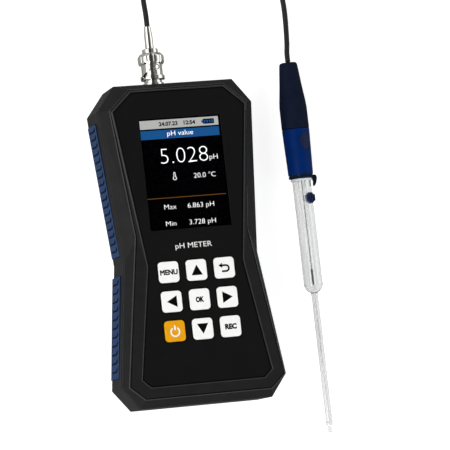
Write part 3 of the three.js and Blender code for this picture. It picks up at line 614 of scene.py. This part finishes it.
def flowing(points, steps=6):
    """Points along a smooth curve through the given ones, closer where they are closer."""
    fixed = [Vector(p) for p in points]
    ends = [2 * fixed[0] - fixed[1], *fixed, 2 * fixed[-1] - fixed[-2]]
    out = []
    for p0, p1, p2, p3 in zip(ends, ends[1:], ends[2:], ends[3:]):
        t0, t1, t2 = (math.sqrt((b - a).length) for a, b in ((p0, p1), (p1, p2), (p2, p3)))
        into = ((p1 - p0) / t0 - (p2 - p0) / (t0 + t1) + (p2 - p1) / t1) * t1
        away = ((p2 - p1) / t1 - (p3 - p1) / (t1 + t2) + (p3 - p2) / t2) * t1
        for step in range(steps):
            t = step / steps
            out.append(
                (2 * t**3 - 3 * t**2 + 1) * p1 + (t**3 - 2 * t**2 + t) * into
                + (3 * t**2 - 2 * t**3) * p2 + (t**3 - t**2) * away
            )
    return [*out, fixed[-1]]


def coil_turns():
    """A flat coil of two layers: in along the lower one and out along the upper one."""
    per_turn = 24
    half = COIL["turns"] / 2
    points = []
    for i in range(int(COIL["turns"] * per_turn) + 1):
        wound = i / per_turn
        radius = COIL["radius"] - COIL["pitch"] * min(wound, COIL["turns"] - wound)
        angle = COIL["start"] - TURN * wound
        rise = clamp((wound - half) / 0.5 + 0.5)
        points.append((
            COIL["x"] + radius * math.cos(angle),
            COIL["y"] + radius * math.sin(angle),
            COIL["low"] + (COIL["high"] - COIL["low"]) * rise,
        ))
    return points


def make_lead():
    """The coaxial cable as one curve from the plug through the coil to the electrode's cap."""
    line = flowing(METER_ROUTE + coil_turns() + PROBE_ROUTE)
    curve = bpy.data.curves.new("lead", "CURVE")
    curve.dimensions = "3D"
    curve.bevel_depth = CABLE_RADIUS * MM
    curve.bevel_resolution = 6
    curve.use_fill_caps = True
    spline = curve.splines.new("POLY")
    spline.points.add(len(line) - 1)
    for point, place in zip(spline.points, line):
        point.co = (*(place * MM), 1)
    spline.use_smooth = True
    lead = linked("lead", curve)
    curve.materials.append(looks["cable"].material)
    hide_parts("cable_meter_end", "cable_coil", "cable_probe_end")
    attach(lead, "probe_lead")
    return lead


def make_tie():
    """A strap round the coil with a small buckle on top."""
    low, high = node_box("cable_tie")
    middle = (low + high) / 2
    width, long, tall = high - low
    thick = 0.5
    outer = rectangle(long, tall, corner=1.4)
    inner = rectangle(long - 2 * thick, tall - 2 * thick, corner=0.95)
    upright = Matrix(((0, 0, 1), (1, 0, 0), (0, 1, 0)))
    strap = turned(band(outer, inner, -width / 2, width / 2), upright)
    buckle = slab(rectangle(width + 1.2, 3.4, corner=0.5), tall / 2 - 0.6, tall / 2 + 1.1)
    teeth = [
        slab(rectangle(width * 0.6, 0.25, 0, -4.2 + 0.6 * i), tall / 2 - 0.1, tall / 2 + 0.08)
        for i in range(4)
    ]
    form = merged(strap, buckle, *teeth)
    place = Matrix.Translation(middle)
    tie = new_piece("cable_tie_strap", *form, "tie", "probe_lead", place, ("cable_tie",))
    return bevelled(tie, 0.15, 2)


# ---- BNC connector ----

def new_metal(name, form, body, node):
    """A nickel piece about the connector's axis."""
    return new_piece(name, *form, "nickel", body, CONNECTOR, (node,))


def ramp_cutter(start):
    """Cuts a slot's ramp along the helix that the lug follows to its detent."""
    slope = (TURN / 4 * NUT["barrel"]) / SLOT["travel"]
    leaning = math.hypot(1, slope)
    across = SLOT["half"] / leaning / NUT["barrel"]
    along = SLOT["half"] * slope / leaning
    steps = 24
    verts = []
    for i in range(steps + 1):
        left = 1 - i / steps
        for side in (1, -1):
            angle = start - TURN / 4 * left - side * across
            y = LUG["y"] - SLOT["travel"] * left + side * along
            for radius in (NUT["bore"] - 0.6, NUT["flange"] + 0.6):
                verts.append((radius * math.cos(angle), y, -radius * math.sin(angle)))
    end = 4 * steps
    faces = [(0, 2, 3, 1), (end, end + 1, end + 3, end + 2)]
    for base in range(0, end, 4):
        for a, b, c, d in ((0, 1, 5, 4), (1, 3, 7, 5), (3, 2, 6, 7), (2, 0, 4, 6)):
            faces.append((base + a, base + b, base + c, base + d))
    return verts, faces


def slot_cutters(start):
    """In from the nut's front, round a corner, up the ramp and into the detent."""
    inner, outer = NUT["bore"] - 0.6, NUT["flange"] + 0.6
    corner_y = LUG["y"] - SLOT["travel"]
    corner = start - TURN / 4
    mouth = slab(rectangle(outer - inner, corner_y - NUT["front"] + 1), -SLOT["half"], SLOT["half"])
    middle = Matrix.Translation(((inner + outer) / 2, (corner_y + NUT["front"] - 1) / 2, 0))
    return [
        tool(*turned(mouth, Matrix.Rotation(corner, 4, "Y") @ middle), CONNECTOR),
        tool(*peg(SLOT["half"], inner, outer, corner_y, corner), CONNECTOR),
        tool(*ramp_cutter(start), CONNECTOR),
        tool(*peg(SLOT["detent"], inner, outer, LUG["y"], start), CONNECTOR),
    ]


def make_jack():
    """The jack's shell with its two lugs."""
    profile = rounded([
        (4.75, 74, 0.2), (4.75, 85.1, 0.1), (5.6, 85.1, 0.15), (5.6, 86.8, 0.25), (4.7, 86.8, 0.1),
        (4.7, 96.6, 0.2), (4.1, 96.6, 0.15), (4.1, 86.8), (3.3, 86.8), (3.3, 74, 0.1),
    ], steps=4)
    shell = new_metal("jack_shell", spun(profile, 128), "meter", "bnc_jack")
    lugs = [
        tool(*peg(LUG["radius"], 4.3, LUG["reach"], LUG["y"], angle), CONNECTOR) for angle in LUG_ANGLES
    ]
    bevelled(shaped(shell, lugs, "UNION"), 0.12, 3, 50)


def make_nut():
    """The coupling nut, with its two slots."""
    low, high = NUT["ring_low"], NUT["ring_high"]

    def flute(radius, y, angle):
        """Broad shallow flutes round the ring."""
        if radius < NUT["barrel"] + 0.6 or y < low + 0.5 or y > high - 0.4:
            return radius
        return radius - 0.22 * max(0, math.cos(NUT["flutes"] * angle)) ** 3

    profile = rounded([
        (NUT["flange"], NUT["front"], 0.3), (NUT["flange"], 90.7, 0.3), (NUT["barrel"], 90.8, 0.15),
        (NUT["barrel"], low, 0.12), (NUT["ring"] - 0.5, low, 0.35), (NUT["ring"], low + 1.2, 0.8),
        (NUT["ring"], high - 1.7, 1.2), (NUT["ring"] - 1.3, high, 0.6), (4, high, 0.15), (4, 100),
        (NUT["bore"], 100), (NUT["bore"], NUT["front"], 0.15),
    ])
    nut = new_metal("bayonet_nut", spun(profile, 192, flute), "coupling_nut", "coupling_nut")
    cutters = [cutter for angle in LUG_ANGLES for cutter in slot_cutters(angle)]
    bevelled(shaped(nut, cutters), 0.1, 2, 50)


def make_plug():
    """The plug's body, and the crimped sleeve that the cable comes out of."""
    body = rounded([
        (3.8, 90.2, 0.1), (3.8, 97.7), (4.65, 97.7, 0.1), (4.65, 99.6, 0.1), (3.65, 99.6), (3.65, 103),
        (4.2, 103, 0.15), (4.2, 105.2, 0.35), (2.6, 105.2, 0.1), (2.6, 101.4), (3.3, 101.4), (3.3, 90.2),
    ], steps=4)
    new_metal("plug_shell", spun(body), "probe_lead", "plug_body")
    sleeve = rounded([(0, 105.5), (2.25, 105.5, 0.15), (2.25, 112, 3), (1.75, 117.4, 0.25), (0, 117.4)])

    def crimp(radius, y, angle):
        """Six soft flats where the sleeve is crimped."""
        share = max(0, 1 - abs(y - 109.5) / 3.2) ** 0.5
        return radius * (1 - 0.05 * share * (0.5 + 0.5 * math.cos(6 * angle)))

    new_metal("crimped_sleeve", spun(sleeve, dent=crimp), "probe_lead", "crimp_sleeve")


# ---- Electrode ----

def new_part(name, form, look, *stands_for):
    """A piece of the electrode, about its axis."""
    return new_piece(name, *form, look, "probe_lead", ELECTRODE, stands_for)


def cone_radius(y):
    """The blue cap's outer radius at a height of its axis."""
    return CAP["joint"] + (CAP["low_radius"] - CAP["joint"]) * y / CAP["low"]


def badge_form(inner, outer, spare):
    """An oval patch of the cap's wall between two offsets from its surface."""
    half_width, half_length = BADGE["half_width"] + spare, BADGE["half_length"] + spare
    rings, count = 10, 64
    verts, faces = [], []
    for offset in (outer, inner):
        for ring in range(rings + 1):
            for k in range(count):
                turn = TURN * k / count
                y = BADGE["y"] + half_length * ring / rings * math.sin(turn)
                side = half_width * ring / rings * math.cos(turn)
                radius = cone_radius(y) + offset
                angle = BADGE["facing"] + math.asin(side / cone_radius(y))
                verts.append((radius * math.cos(angle), y, radius * math.sin(angle)))
    layer = (rings + 1) * count
    for ring in range(rings):
        for k in range(count):
            a, b = ring * count + k, ring * count + (k + 1) % count
            for base in (0, layer):
                faces.append((base + a, base + b, base + b + count, base + a + count))
    for k in range(count):
        a, b = rings * count + k, rings * count + (k + 1) % count
        faces.append((a, b, layer + b, layer + a))
    return verts, faces


def make_cap():
    joint, low, bore, top = CAP["joint"], CAP["low"], CAP["bore"], CAP["top"]
    above, below = CAP["seam"] + 0.15, CAP["seam"] - 0.15
    sleeve = rounded([
        (joint, above, 0.2), (joint - 0.05, 12.4, 40), (6.1, 22.6, 60), (5, 33.6, 3), (4.6, top, 1.6),
        (1.8, top, 0.2), (1.8, 12), (bore, 8), (bore, above, 0.1),
    ], steps=8)
    new_part("cap_upper", spun(sleeve, 128), "navy", "cap_sleeve")
    foot = CAP["low_radius"]
    wall = rounded([(foot, low, 0.25), (joint, below, 0.2), (bore, below, 0.1), (bore, low, 0.1)])
    cap = new_part("cap_lower", spun(wall, 128), "blue", "electrode_cap")
    bevelled(shaped(cap, [tool(*badge_form(-0.5, 1, 0.12), ELECTRODE)]), 0.08, 2, 50)
    bevelled(new_part("oval_badge", badge_form(-0.3, 0.02, 0), "badge", "cap_badge"), 0.08, 2)
    clamp_ring = rounded([(6.6, -27.1, 0.3), (6.6, -25.6, 0.3), (bore, -25.6, 0.1), (bore, -27.1, 0.1)])
    ring = new_part("cap_clamp", spun(clamp_ring), "navy", "cap_ring")
    claw = rounded([
        (6.1, -27), (6.5, -27.3, 0.3), (6.8, -29.5, 1), (6.5, -31.6, 0.15), (6.9, -31.8, 0.2),
        (7.9, -30.1, 1.5), (8.5, -27.7, 1), (8.3, -26.2, 0.6), (7.4, -25.7, 0.5), (6.1, -25.7),
    ])
    bevelled(shaped(ring, [tool(*slab(claw, -1.3, 1.3), ELECTRODE)], "UNION"), 0.2, 3, 50)
    collar = rounded([(5.75, -28.6, 0.3), (5.75, -27.4, 0.3), (bore, -27.4, 0.1), (bore, -28.6, 0.1)])
    new_part("white_collar", spun(collar), "silicone", "tube_collar")


def make_glass():
    """The tube with its filling neck and stem, the tube inside it, the bulb and the junction's pins."""
    outside = rounded([
        (0, -160.5), (1.75, -160.5, 0.2), (1.75, -89, 1), (3.6, -88, 2.2), (5, -85.2, 2.5),
        (5, -3, 0.3), (0, -3),
    ], closed=False, steps=8)
    inside = rounded([
        (0, -161.5), (1.15, -161.5), (1.15, -88.2, 0.8), (2.8, -87, 1.6), (4.1, -84.4, 2),
        (4.1, -2), (0, -2),
    ], closed=False, steps=8)
    neck = rounded([(0, 3.6), (2.5, 3.6), (2.5, 5.6, 0.3), (0, 5.6)], closed=False)
    neck_bore = [(0, 2), (1.8, 2), (1.8, 6.6), (0, 6.6)]
    body = new_part("glass_tube", spun(outside, 128), "glass", "glass_body")
    shaped(body, [tool(*spun(neck, 64), STOPPER)], "UNION")
    shaped(body, [tool(*spun(inside, 128), ELECTRODE), tool(*spun(neck_bore, 64), STOPPER)])
    tube = rounded([
        (2.1, -6, 0.2), (2.1, -41, 25), (0.75, -55, 25), (0.75, -153, 0.1), (0.5, -153, 0.1),
        (0.5, -54.6, 25), (1.5, -41.8, 25), (1.5, -6, 0.2),
    ], steps=10)
    new_part("inner_glass", spun(tube, 64), "glass", "inner_tube")
    bulb = rounded([
        (0, -164.3), (0.9, -164.25, 0.7), (1.25, -163, 0.8), (1.25, -161.4, 0.6), (0.9, -160.8, 0.2),
        (0, -160.8),
    ], closed=False, steps=8)
    new_part("sensing_bulb", spun(bulb, 64), "glass", "membrane_tip")
    pins = []
    for number in range(3):
        place = Matrix.Translation((0, -158.6, 0)) @ Matrix.Rotation(TURN * (number / 3 + 0.22), 4, "Y")
        pins.append(turned(slab(disc(0.3, 20), 1.2, 1.74), place))
    new_part("junction_pins", merged(*pins), "silver")


def make_stopper():
    """A head with fins on a stem, about the filling neck's axis. The head is paler than the fins, as a
    painted highlight between them.
    """
    across = Matrix.Rotation(-TURN / 4, 4, "X") @ Matrix.Rotation(TURN / 4, 4, "Z")
    stem = [(0, 4.3), (1.45, 4.3), (1.45, 6), (0, 6)]
    head = rounded([(0, 5.9), (3.1, 5.9, 0.3), (3.1, 6.8, 0.3), (0, 6.8)], closed=False)
    fins = []
    for offset in (-2.1, -0.7, 0.7, 2.1):
        long = 2 * math.sqrt(3**2 - (abs(offset) + 0.3) ** 2)
        fins.append(turned(slab(rectangle(0.7, long, offset, 0, 0.33), 6.6, 7.8), across))
    form = merged(spun(stem, 48), spun(head, 64))
    stopper = new_piece("stopper_head", *form, "stopper", "refill_stopper", STOPPER, ("refill_stopper",))
    bevelled(stopper, 0.15, 3, 50)
    bevelled(new_piece("stopper_fins", *merged(*fins), "fin", "refill_stopper", STOPPER), 0.15, 3, 50)


# ---- Case ----

def make_case():
    face = node_box("front_cover")[1][2]
    overlay_top = node_box("face_overlay")[1][2]

    def by_split(middle):
        return abs(middle.z - SPLIT) < 1

    def facet(middle):
        """The edges between the facets round the outside, below the face."""
        return middle.z < face - 0.3 and is_outside(middle) and not by_split(middle)

    def groove(middle):
        return is_outside(middle) and by_split(middle)

    def rim(middle):
        return middle.z > overlay_top - 0.05

    refined("front_cover", "front_shell", "casing", [(facet, 0.4, 3), (groove, 0.1, 2)])
    refined("rear_cover", "rear_shell", "casing", [(facet, 0.4, 3), (groove, 0.1, 2)])
    refined("face_overlay", "printed_face", "overlay", [(rim, 0.06, 2)])


def is_outside(point):
    """True on the case's outer skin, clear of its holes and hollow."""
    half = np.interp(point.y, [y for _, y in CREASE], [x for x, _ in CREASE])
    return abs(point.x) > half - 8.5 - 6 * (point.z > 30) or abs(point.y) > 78


def make_grips():
    """Soft inserts down the sides: each is a strip of low bars with round front ends."""
    for side, level, bars in (
        ("left", "upper", 17), ("left", "lower", 11), ("right", "upper", 17), ("right", "lower", 11),
    ):
        node = f"grip_{side}_{level}"
        points = np.array([v.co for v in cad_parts[node].data.vertices]) / MM
        middle = points[:, :2].mean(0)
        along = np.linalg.svd(points[:, :2] - middle, full_matrices=False)[2][0]
        along *= np.sign(along[1])
        out = np.array([along[1], -along[0]])
        out *= np.sign(out[0] * middle[0])
        s = points[:, :2] @ along
        n = points[:, :2] @ out
        verts, faces, light = grip_form(*[(v.min(), v.max()) for v in (s, n, points[:, 2])], bars)
        verts = [(*(along * a + out * b), z) for a, b, z in verts]
        name = f"insert_{side}_{level}"
        insert = new_piece(name, verts, faces, "grip", "meter", stands_for=(node,), sharp=60)
        # How much light reaches each point, painted into the grip's colour as shade.
        painted_light = insert.data.attributes.new("painted_light", "FLOAT", "POINT")
        painted_light.data.foreach_set("value", light)


def grip_form(s, n, z, bars):
    """A strip between two places along s, two depths n and two heights z, with bars across its outer side.

    Also gives how much light reaches each point, from 0 under a bar's lip or at the strip's edges to 1, which
    is painted into its colour as shade.
    """
    # The CAD strip is this much thicker than the floor between the bars, and the bars rise by lift.
    proud, lift = 0.7, 0.4
    # In pitches of the bars: the plain stretch at the foot, and how much longer the strip is than its bars.
    plain_foot, spare = 0.62, 0.6
    columns_per_bar, rows = 22, 44
    # Widths over which painted shade darkens the strip towards its back and front edges.
    fade_back, fade_front = 1.3, 0.5
    pitches = bars + spare
    pitch = (s[1] - s[0]) / pitches
    floor = n[1] - proud
    verts, light = [], []
    columns = round(pitches * columns_per_bar)
    for i in range(columns + 1):
        along = s[0] + (s[1] - s[0]) * i / columns
        place = i / columns * pitches - plain_foot
        offset = (place % 1 - 0.5) * pitch
        for j in range(rows + 1):
            height = z[0] + (z[1] - z[0]) * j / rows
            raised, lit = bar_surface(offset, height, z, pitch) if place > 0 else (0, 1)
            light.append(lit * min((height - z[0]) / fade_back, (z[1] - height) / fade_front, 1))
            verts.append((along, floor + lift * raised, height))
    count = rows + 1
    faces = [
        (i * count + j, (i + 1) * count + j, (i + 1) * count + j + 1, i * count + j + 1)
        for i in range(columns) for j in range(rows)
    ]
    edge = [i * count for i in range(columns)] + [columns * count + j for j in range(rows)]
    edge += [i * count + rows for i in range(columns, 0, -1)] + list(range(rows, 0, -1))
    base = len(verts)
    verts += [(verts[i][0], n[0], verts[i][2]) for i in edge]
    light += [1] * len(edge)
    total = len(edge)
    faces += [(edge[k], edge[(k + 1) % total], base + (k + 1) % total, base + k) for k in range(total)]
    faces.append(tuple(base + k for k in range(total)))
    return verts, faces, light


def bar_surface(offset, height, z, pitch):
    """How far a place is raised, and how lit it is, for the shade painted into its colour under the lip and
    round the front end.

    A bar slopes up to a lip at its foot and round its front end.
    """
    front, foot, corner = z[1] - 2.6, -0.36 * pitch, 0.5 * pitch
    lip_wide, shadow_wide = 0.45, 0.62
    over = Vector((max(0, foot + corner - offset), max(0, height - (front - corner))))
    inside = corner - over.length
    edge = clamp(inside / lip_wide)
    back = clamp((height - z[0] - 1) / 1.2)
    slope = 1 - 0.95 * clamp((offset / pitch + 0.05) / 0.5)
    shadow = math.exp(-(((inside - 0.05) / shadow_wide) ** 4))
    return edge * edge * (3 - 2 * edge) * back * slope, 1 - shadow * back * slope


def make_screws():
    """Cross-head screws in the back's counterbores."""
    for number in range(1, 5):
        node = f"case_screw_{number}"
        low, high = node_box(node)
        place = Matrix.Translation((*(low + high)[:2] / 2, 0))
        foot, head, stem = low[2], (high[0] - low[0]) / 2, 1.35
        profile = rounded([
            (0, foot), (head - 0.1, foot, 0.4), (head, foot + 1.8, 0.2), (stem, foot + 1.9),
            (stem, high[2], 0.3), (0, high[2]),
        ], closed=False)
        upright = place @ Matrix.Rotation(TURN / 4, 4, "X")
        screw = new_piece(f"screw_{number}", *spun(profile, 48), "steel", "meter", upright, (node,))
        long, wide = 3.2, 0.75
        cross = [
            tool(*slab(rectangle(w, h), foot - 0.2, foot + 1.1), place)
            for w, h in ((long, wide), (wide, long))
        ]
        shaped(screw, cross)
        bevelled(screw, 0.06, 2, 40)


# ---- Keys ----

def triangle(facing):
    """A triangle about the origin, turned to face an angle."""
    base, tall = 6.1, 5.5
    points = [(-base / 2, -tall / 2), (base / 2, -tall / 2), (0, tall / 2)]
    turn = Matrix.Rotation(facing, 2)
    return [tuple(turn @ Vector(point)) for point in points]


def stroke(points, width):
    """A flat band of even width along a polyline."""
    line = [Vector(p) for p in points]
    left, right = [], []
    for i, here in enumerate(line):
        along = (line[min(i + 1, len(line) - 1)] - line[max(i - 1, 0)]).normalized() * width / 2
        left.append(tuple(here + Vector((-along.y, along.x))))
        right.append(tuple(here + Vector((along.y, -along.x))))
    return left + right[::-1]


def symbols():
    """Flat outlines of the keys' signs, about each key's middle."""
    hook = [(-1.6, -1.9), *arc(1.55, -TURN / 4, TURN / 4, 0.8, -0.35), (-1.6, 1.2)]
    ring = arc(2.3, math.radians(122), math.radians(418), 0, -0.45, 40)
    return {
        "up": [triangle(0)],
        "left": [triangle(TURN / 4)],
        "right": [triangle(-TURN / 4)],
        "down": [triangle(TURN / 2)],
        "back": [stroke(hook, 0.95), [(-3.2, 1.2), (-1.2, -0.15), (-1.2, 2.55)]],
        "power": [stroke(ring, 0.8), rectangle(0.8, 2.7, 0, 1.7, 0.35)],
    }


def make_keys():
    signs = symbols()
    words = {"menu": ("MENU", 9.6, 0.048), "ok": ("OK", 4.6, 0.065), "rec": ("REC", 6.4, 0.065)}
    for name in KEYS:
        node = f"key_{name}"
        low, high = node_box(node)
        x, y = (low + high)[:2] / 2
        look, ink = ("orange_key", "white_print") if name == "power" else ("white_key", "black_print")
        place = Matrix.Translation((x, y, 0))
        top = high[2] - 0.06
        cap = slab(rectangle(KEY_CAP, KEY_CAP, corner=1.9, steps=8), low[2] + 0.5, top)
        foot = slab(rectangle(KEY_FOOT, KEY_FOOT, corner=1.8), low[2], low[2] + 1)
        key = new_piece(f"{node}_cap", *cap, look, node, place, (node,))
        shaped(key, [tool(*foot, place)], "UNION")
        bevelled(key, 0.22, 3, 40)
        if name in words:
            text, width, weight = words[name]
            lettering(f"{node}_legend", text, width, 2.6, x, y, top, ink, node, weight=weight)
        else:
            forms = merged(*[slab(outline, top - 0.01, top + 0.02) for outline in signs[name]])
            new_piece(f"{node}_legend", *forms, ink, node, place)


# ---- Display ----

def make_display():
    """The module's lit picture lies just under the clear window."""
    low, high = node_box("display_module")
    x, y = (low[:2] + high[:2]) / 2
    left, top = x - SCREEN_WIDE / 2, y + SCREEN_TALL / 2
    bars_z = high[2] + 0.03
    text_z = high[2] + 0.055
    thin = 0.01

    for name, height, cy, look in (
        ("status_bar", 4.6, 2.3, "lit_grey"), ("title_bar", 4.7, 7.75, "lit_blue"),
        ("rule", 0.28, 41.4, "lit_amber"),
    ):
        form = slab(rectangle(SCREEN_WIDE, height), bars_z, bars_z + 0.015)
        new_piece(f"display_{name}", *form, look, "meter", Matrix.Translation((x, top - cy, 0)))

    def words(name, text, width, height, cx, cy, weight=-0.014, look="lit_white"):
        place = (left + cx, top - cy, text_z)
        lettering(f"display_{name}", text, width, height, *place, look, "meter", thin, weight)

    words("date", "24.07.23", 10.3, 2.1, 15.6, 2.2, 0.04, "lit_black")
    words("time", "12:54", 6.4, 2.1, 27.3, 2.2, 0.04, "lit_black")
    words("title", "pH value", 14.2, 2.7, 21.6, 7.3, -0.006)
    words("reading", "5.028", 26, 8.8, 22.5, 19, -0.024)
    words("unit", "pH", 4.5, 2.9, 38.5, 21.2)
    words("temperature", "20.0 °C", 11.9, 2.7, 32.6, 30.5)
    words("max", "Max", 6.5, 2.7, 11.9, 46.1)
    words("max_value", "6.863 pH", 14.5, 2.7, 28.7, 46.1)
    words("min", "Min", 5.6, 2.7, 11.4, 54.9)
    words("min_value", "3.728 pH", 14.5, 2.7, 28.7, 54.9)

    def sign(name, outlines, look, cx, cy, z):
        """Flat outlines about a place on the screen."""
        form = merged(*[slab(outline, z, z + thin) for outline in outlines])
        new_piece(f"display_{name}", *form, look, "meter", Matrix.Translation((left + cx, top - cy, 0)))

    bulb = arc(0.9, math.radians(112), math.radians(428), 0, -1.1, 30)
    stem = [(-0.36, -0.25), (-0.36, 1.6), *arc(0.36, math.pi, 0, 0, 1.6, 10), (0.36, -0.25)]
    sign("thermometer", [stroke(bulb, 0.26), stroke(stem, 0.26)], "lit_white", 16.1, 30.2, text_z)
    shell = rectangle(6.2, 2.7, 0.2, 0, 0.5)
    knob = rectangle(0.7, 1.3, -3.3, 0, 0.2)
    sign("battery", [shell, knob], "lit_black", 37.6, 2.35, text_z)
    bars = [rectangle(0.85, 1.4, -1.9 + 1.4 * i, 0, 0.1) for i in range(4)]
    sign("battery_bars", bars, "lit_blue", 37.6, 2.35, text_z + 0.011)


def make_bezel():
    """A glossier bead round the face in a lighter grey as a painted highlight, a black line of painted shade
    in the crease outside it, and beside that a ridge in the same lighter grey as a painted highlight.
    """
    top = node_box("front_cover")[1][2]
    crease = top - 0.8

    def moulding(name, half, level, section, look):
        """A strip round an outline, whose section goes through (inset, height above level) pairs."""
        rings = [(inset(both_sides(half), into), level + up) for into, up in section]
        return new_piece(name, *skinned(rings, closed=True), look, "meter", sharp=20)

    bead = ((-0.5, -0.53), (-0.05, 0.05), (0.38, 0.05), (0.38, -0.2), (-0.5, -0.7))
    line = ((-0.16, -0.14), (0, 0.05), (0.35, 0.12), (0.35, -0.3), (-0.16, -0.4))
    highlight_ridge = ((-0.6, -0.6), (-0.18, -0.04), (-0.17, -0.4), (-0.6, -0.9))
    # The bead and the ridge take a lighter grey than the casing, as painted highlights.
    bevelled(moulding("bezel", FACE, top, bead, "bezel"), 0.1, 3, 12)
    # A black band of painted shade along the crease.
    moulding("crease_shade_line", FRAME, crease, line, "black_print")
    bevelled(moulding("highlight_ridge", FRAME, crease, highlight_ridge, "bezel"), 0.06, 2, 12)


def make_face_print_and_shade():
    """The printed title, and black bands of painted shade in the groove round the face and in the gaps round
    the keys.
    """
    top = node_box("face_overlay")[1][2]
    low, high = top - 0.005, top + 0.015
    lettering("face_title", "pH METER", 20, 2.9, 0, -2, low, "white_print", "meter")
    # Black bands of painted shade: in the groove inside the face's edge, and in the gap round each key.
    face = both_sides(FACE)
    shade_lines = [band(inset(face, 0.75), inset(face, 1.1), low, high)]
    for name in KEYS:
        key_low, key_high = node_box(f"key_{name}")
        x, y = (key_low[:2] + key_high[:2]) / 2
        outer = rectangle(KEY_SHADE_OUTSIDE, KEY_SHADE_OUTSIDE, x, y, 2.3)
        inner = rectangle(KEY_SHADE_INSIDE, KEY_SHADE_INSIDE, x, y, 1.9)
        shade_lines.append(band(outer, inner, low, high))
    new_piece("face_shade_lines", *merged(*shade_lines), "black_print", "meter")


# ---- Finishes of the CAD pieces that stay ----

def finish_frame():
    """Gives them their looks and rounds their edges, in place."""
    kept = {
        "display_window": ("window", 0.1), "display_module": ("display", 0.2), "main_board": ("board", 0.1),
        "battery_pack": ("battery", 0.8), "keypad_mat": ("mat", 0.2), "shield_can": ("tin", 0.15),
        "usb_socket": ("tin", 0.2), "jack_insulator": ("ptfe", 0.1), "jack_contact": ("gold", 0.08),
        "jack_washer": ("nickel", 0.1), "jack_nut": ("nickel", 0.25), "jack_lead": ("cable", 0),
        "plug_insulator": ("ptfe", 0.1), "plug_pin": ("gold", 0.05), "plug_gasket": ("seal", 0.1),
        "measuring_wire": ("wire", 0), "reference_wire": ("silver", 0),
        **{f"board_screw_{i}": ("steel", 0.1) for i in range(1, 5)},
    }
    for name, (look, radius) in kept.items():
        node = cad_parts[name]
        for slot in node.material_slots:
            slot.material = looks[look].material
        if not node.material_slots:
            node.data.materials.append(looks[look].material)
        weld = node.modifiers.new("weld", "WELD")
        weld.merge_threshold = 1e-6
        if radius:
            flat = node.modifiers.new("flat", "DECIMATE")
            flat.decimate_type = "DISSOLVE"
            flat.angle_limit = math.radians(1)
            bevelled(node, radius, 2, 40)


# ---- Floor ----

def add_floor():
    """White paper that glows for the camera, and less for rays that come through glass."""
    floor = bpy.data.meshes.new("floor")
    corners = ((-4, -4), (4, -4), (4, 4), (-4, 4))
    floor.from_pydata([(x, y, -0.00005) for x, y in corners], [], [(0, 1, 2, 3)])
    ground = linked("floor", floor)
    paper = Look("paper", "casing", "#b4b4b3", 0.9, 0.1, (60, 0.01))
    path = paper.add("ShaderNodeLightPath")
    through = paper.add("ShaderNodeMath", operation="MULTIPLY")
    through.inputs[1].default_value = 0.36
    glow = paper.add("ShaderNodeMath", operation="MULTIPLY_ADD")
    glow.inputs[1].default_value = 0.85
    paper.set(emission_color=(1, 1, 1, 1))
    paper.link(path.outputs["Is Transmission Ray"], through.inputs[0])
    paper.link(path.outputs["Is Camera Ray"], glow.inputs[0])
    paper.link(through.outputs[0], glow.inputs[2])
    paper.link(glow.outputs[0], paper.shader.inputs["Emission Strength"])
    floor.materials.append(paper.material)


add_camera()
looks = make_looks()
lead = make_lead()
tie = make_tie()
make_jack()
make_nut()
make_plug()
make_cap()
make_glass()
make_stopper()
make_case()
make_grips()
make_screws()
make_keys()
make_display()
make_bezel()
make_face_print_and_shade()
finish_frame()
add_light()
add_floor()
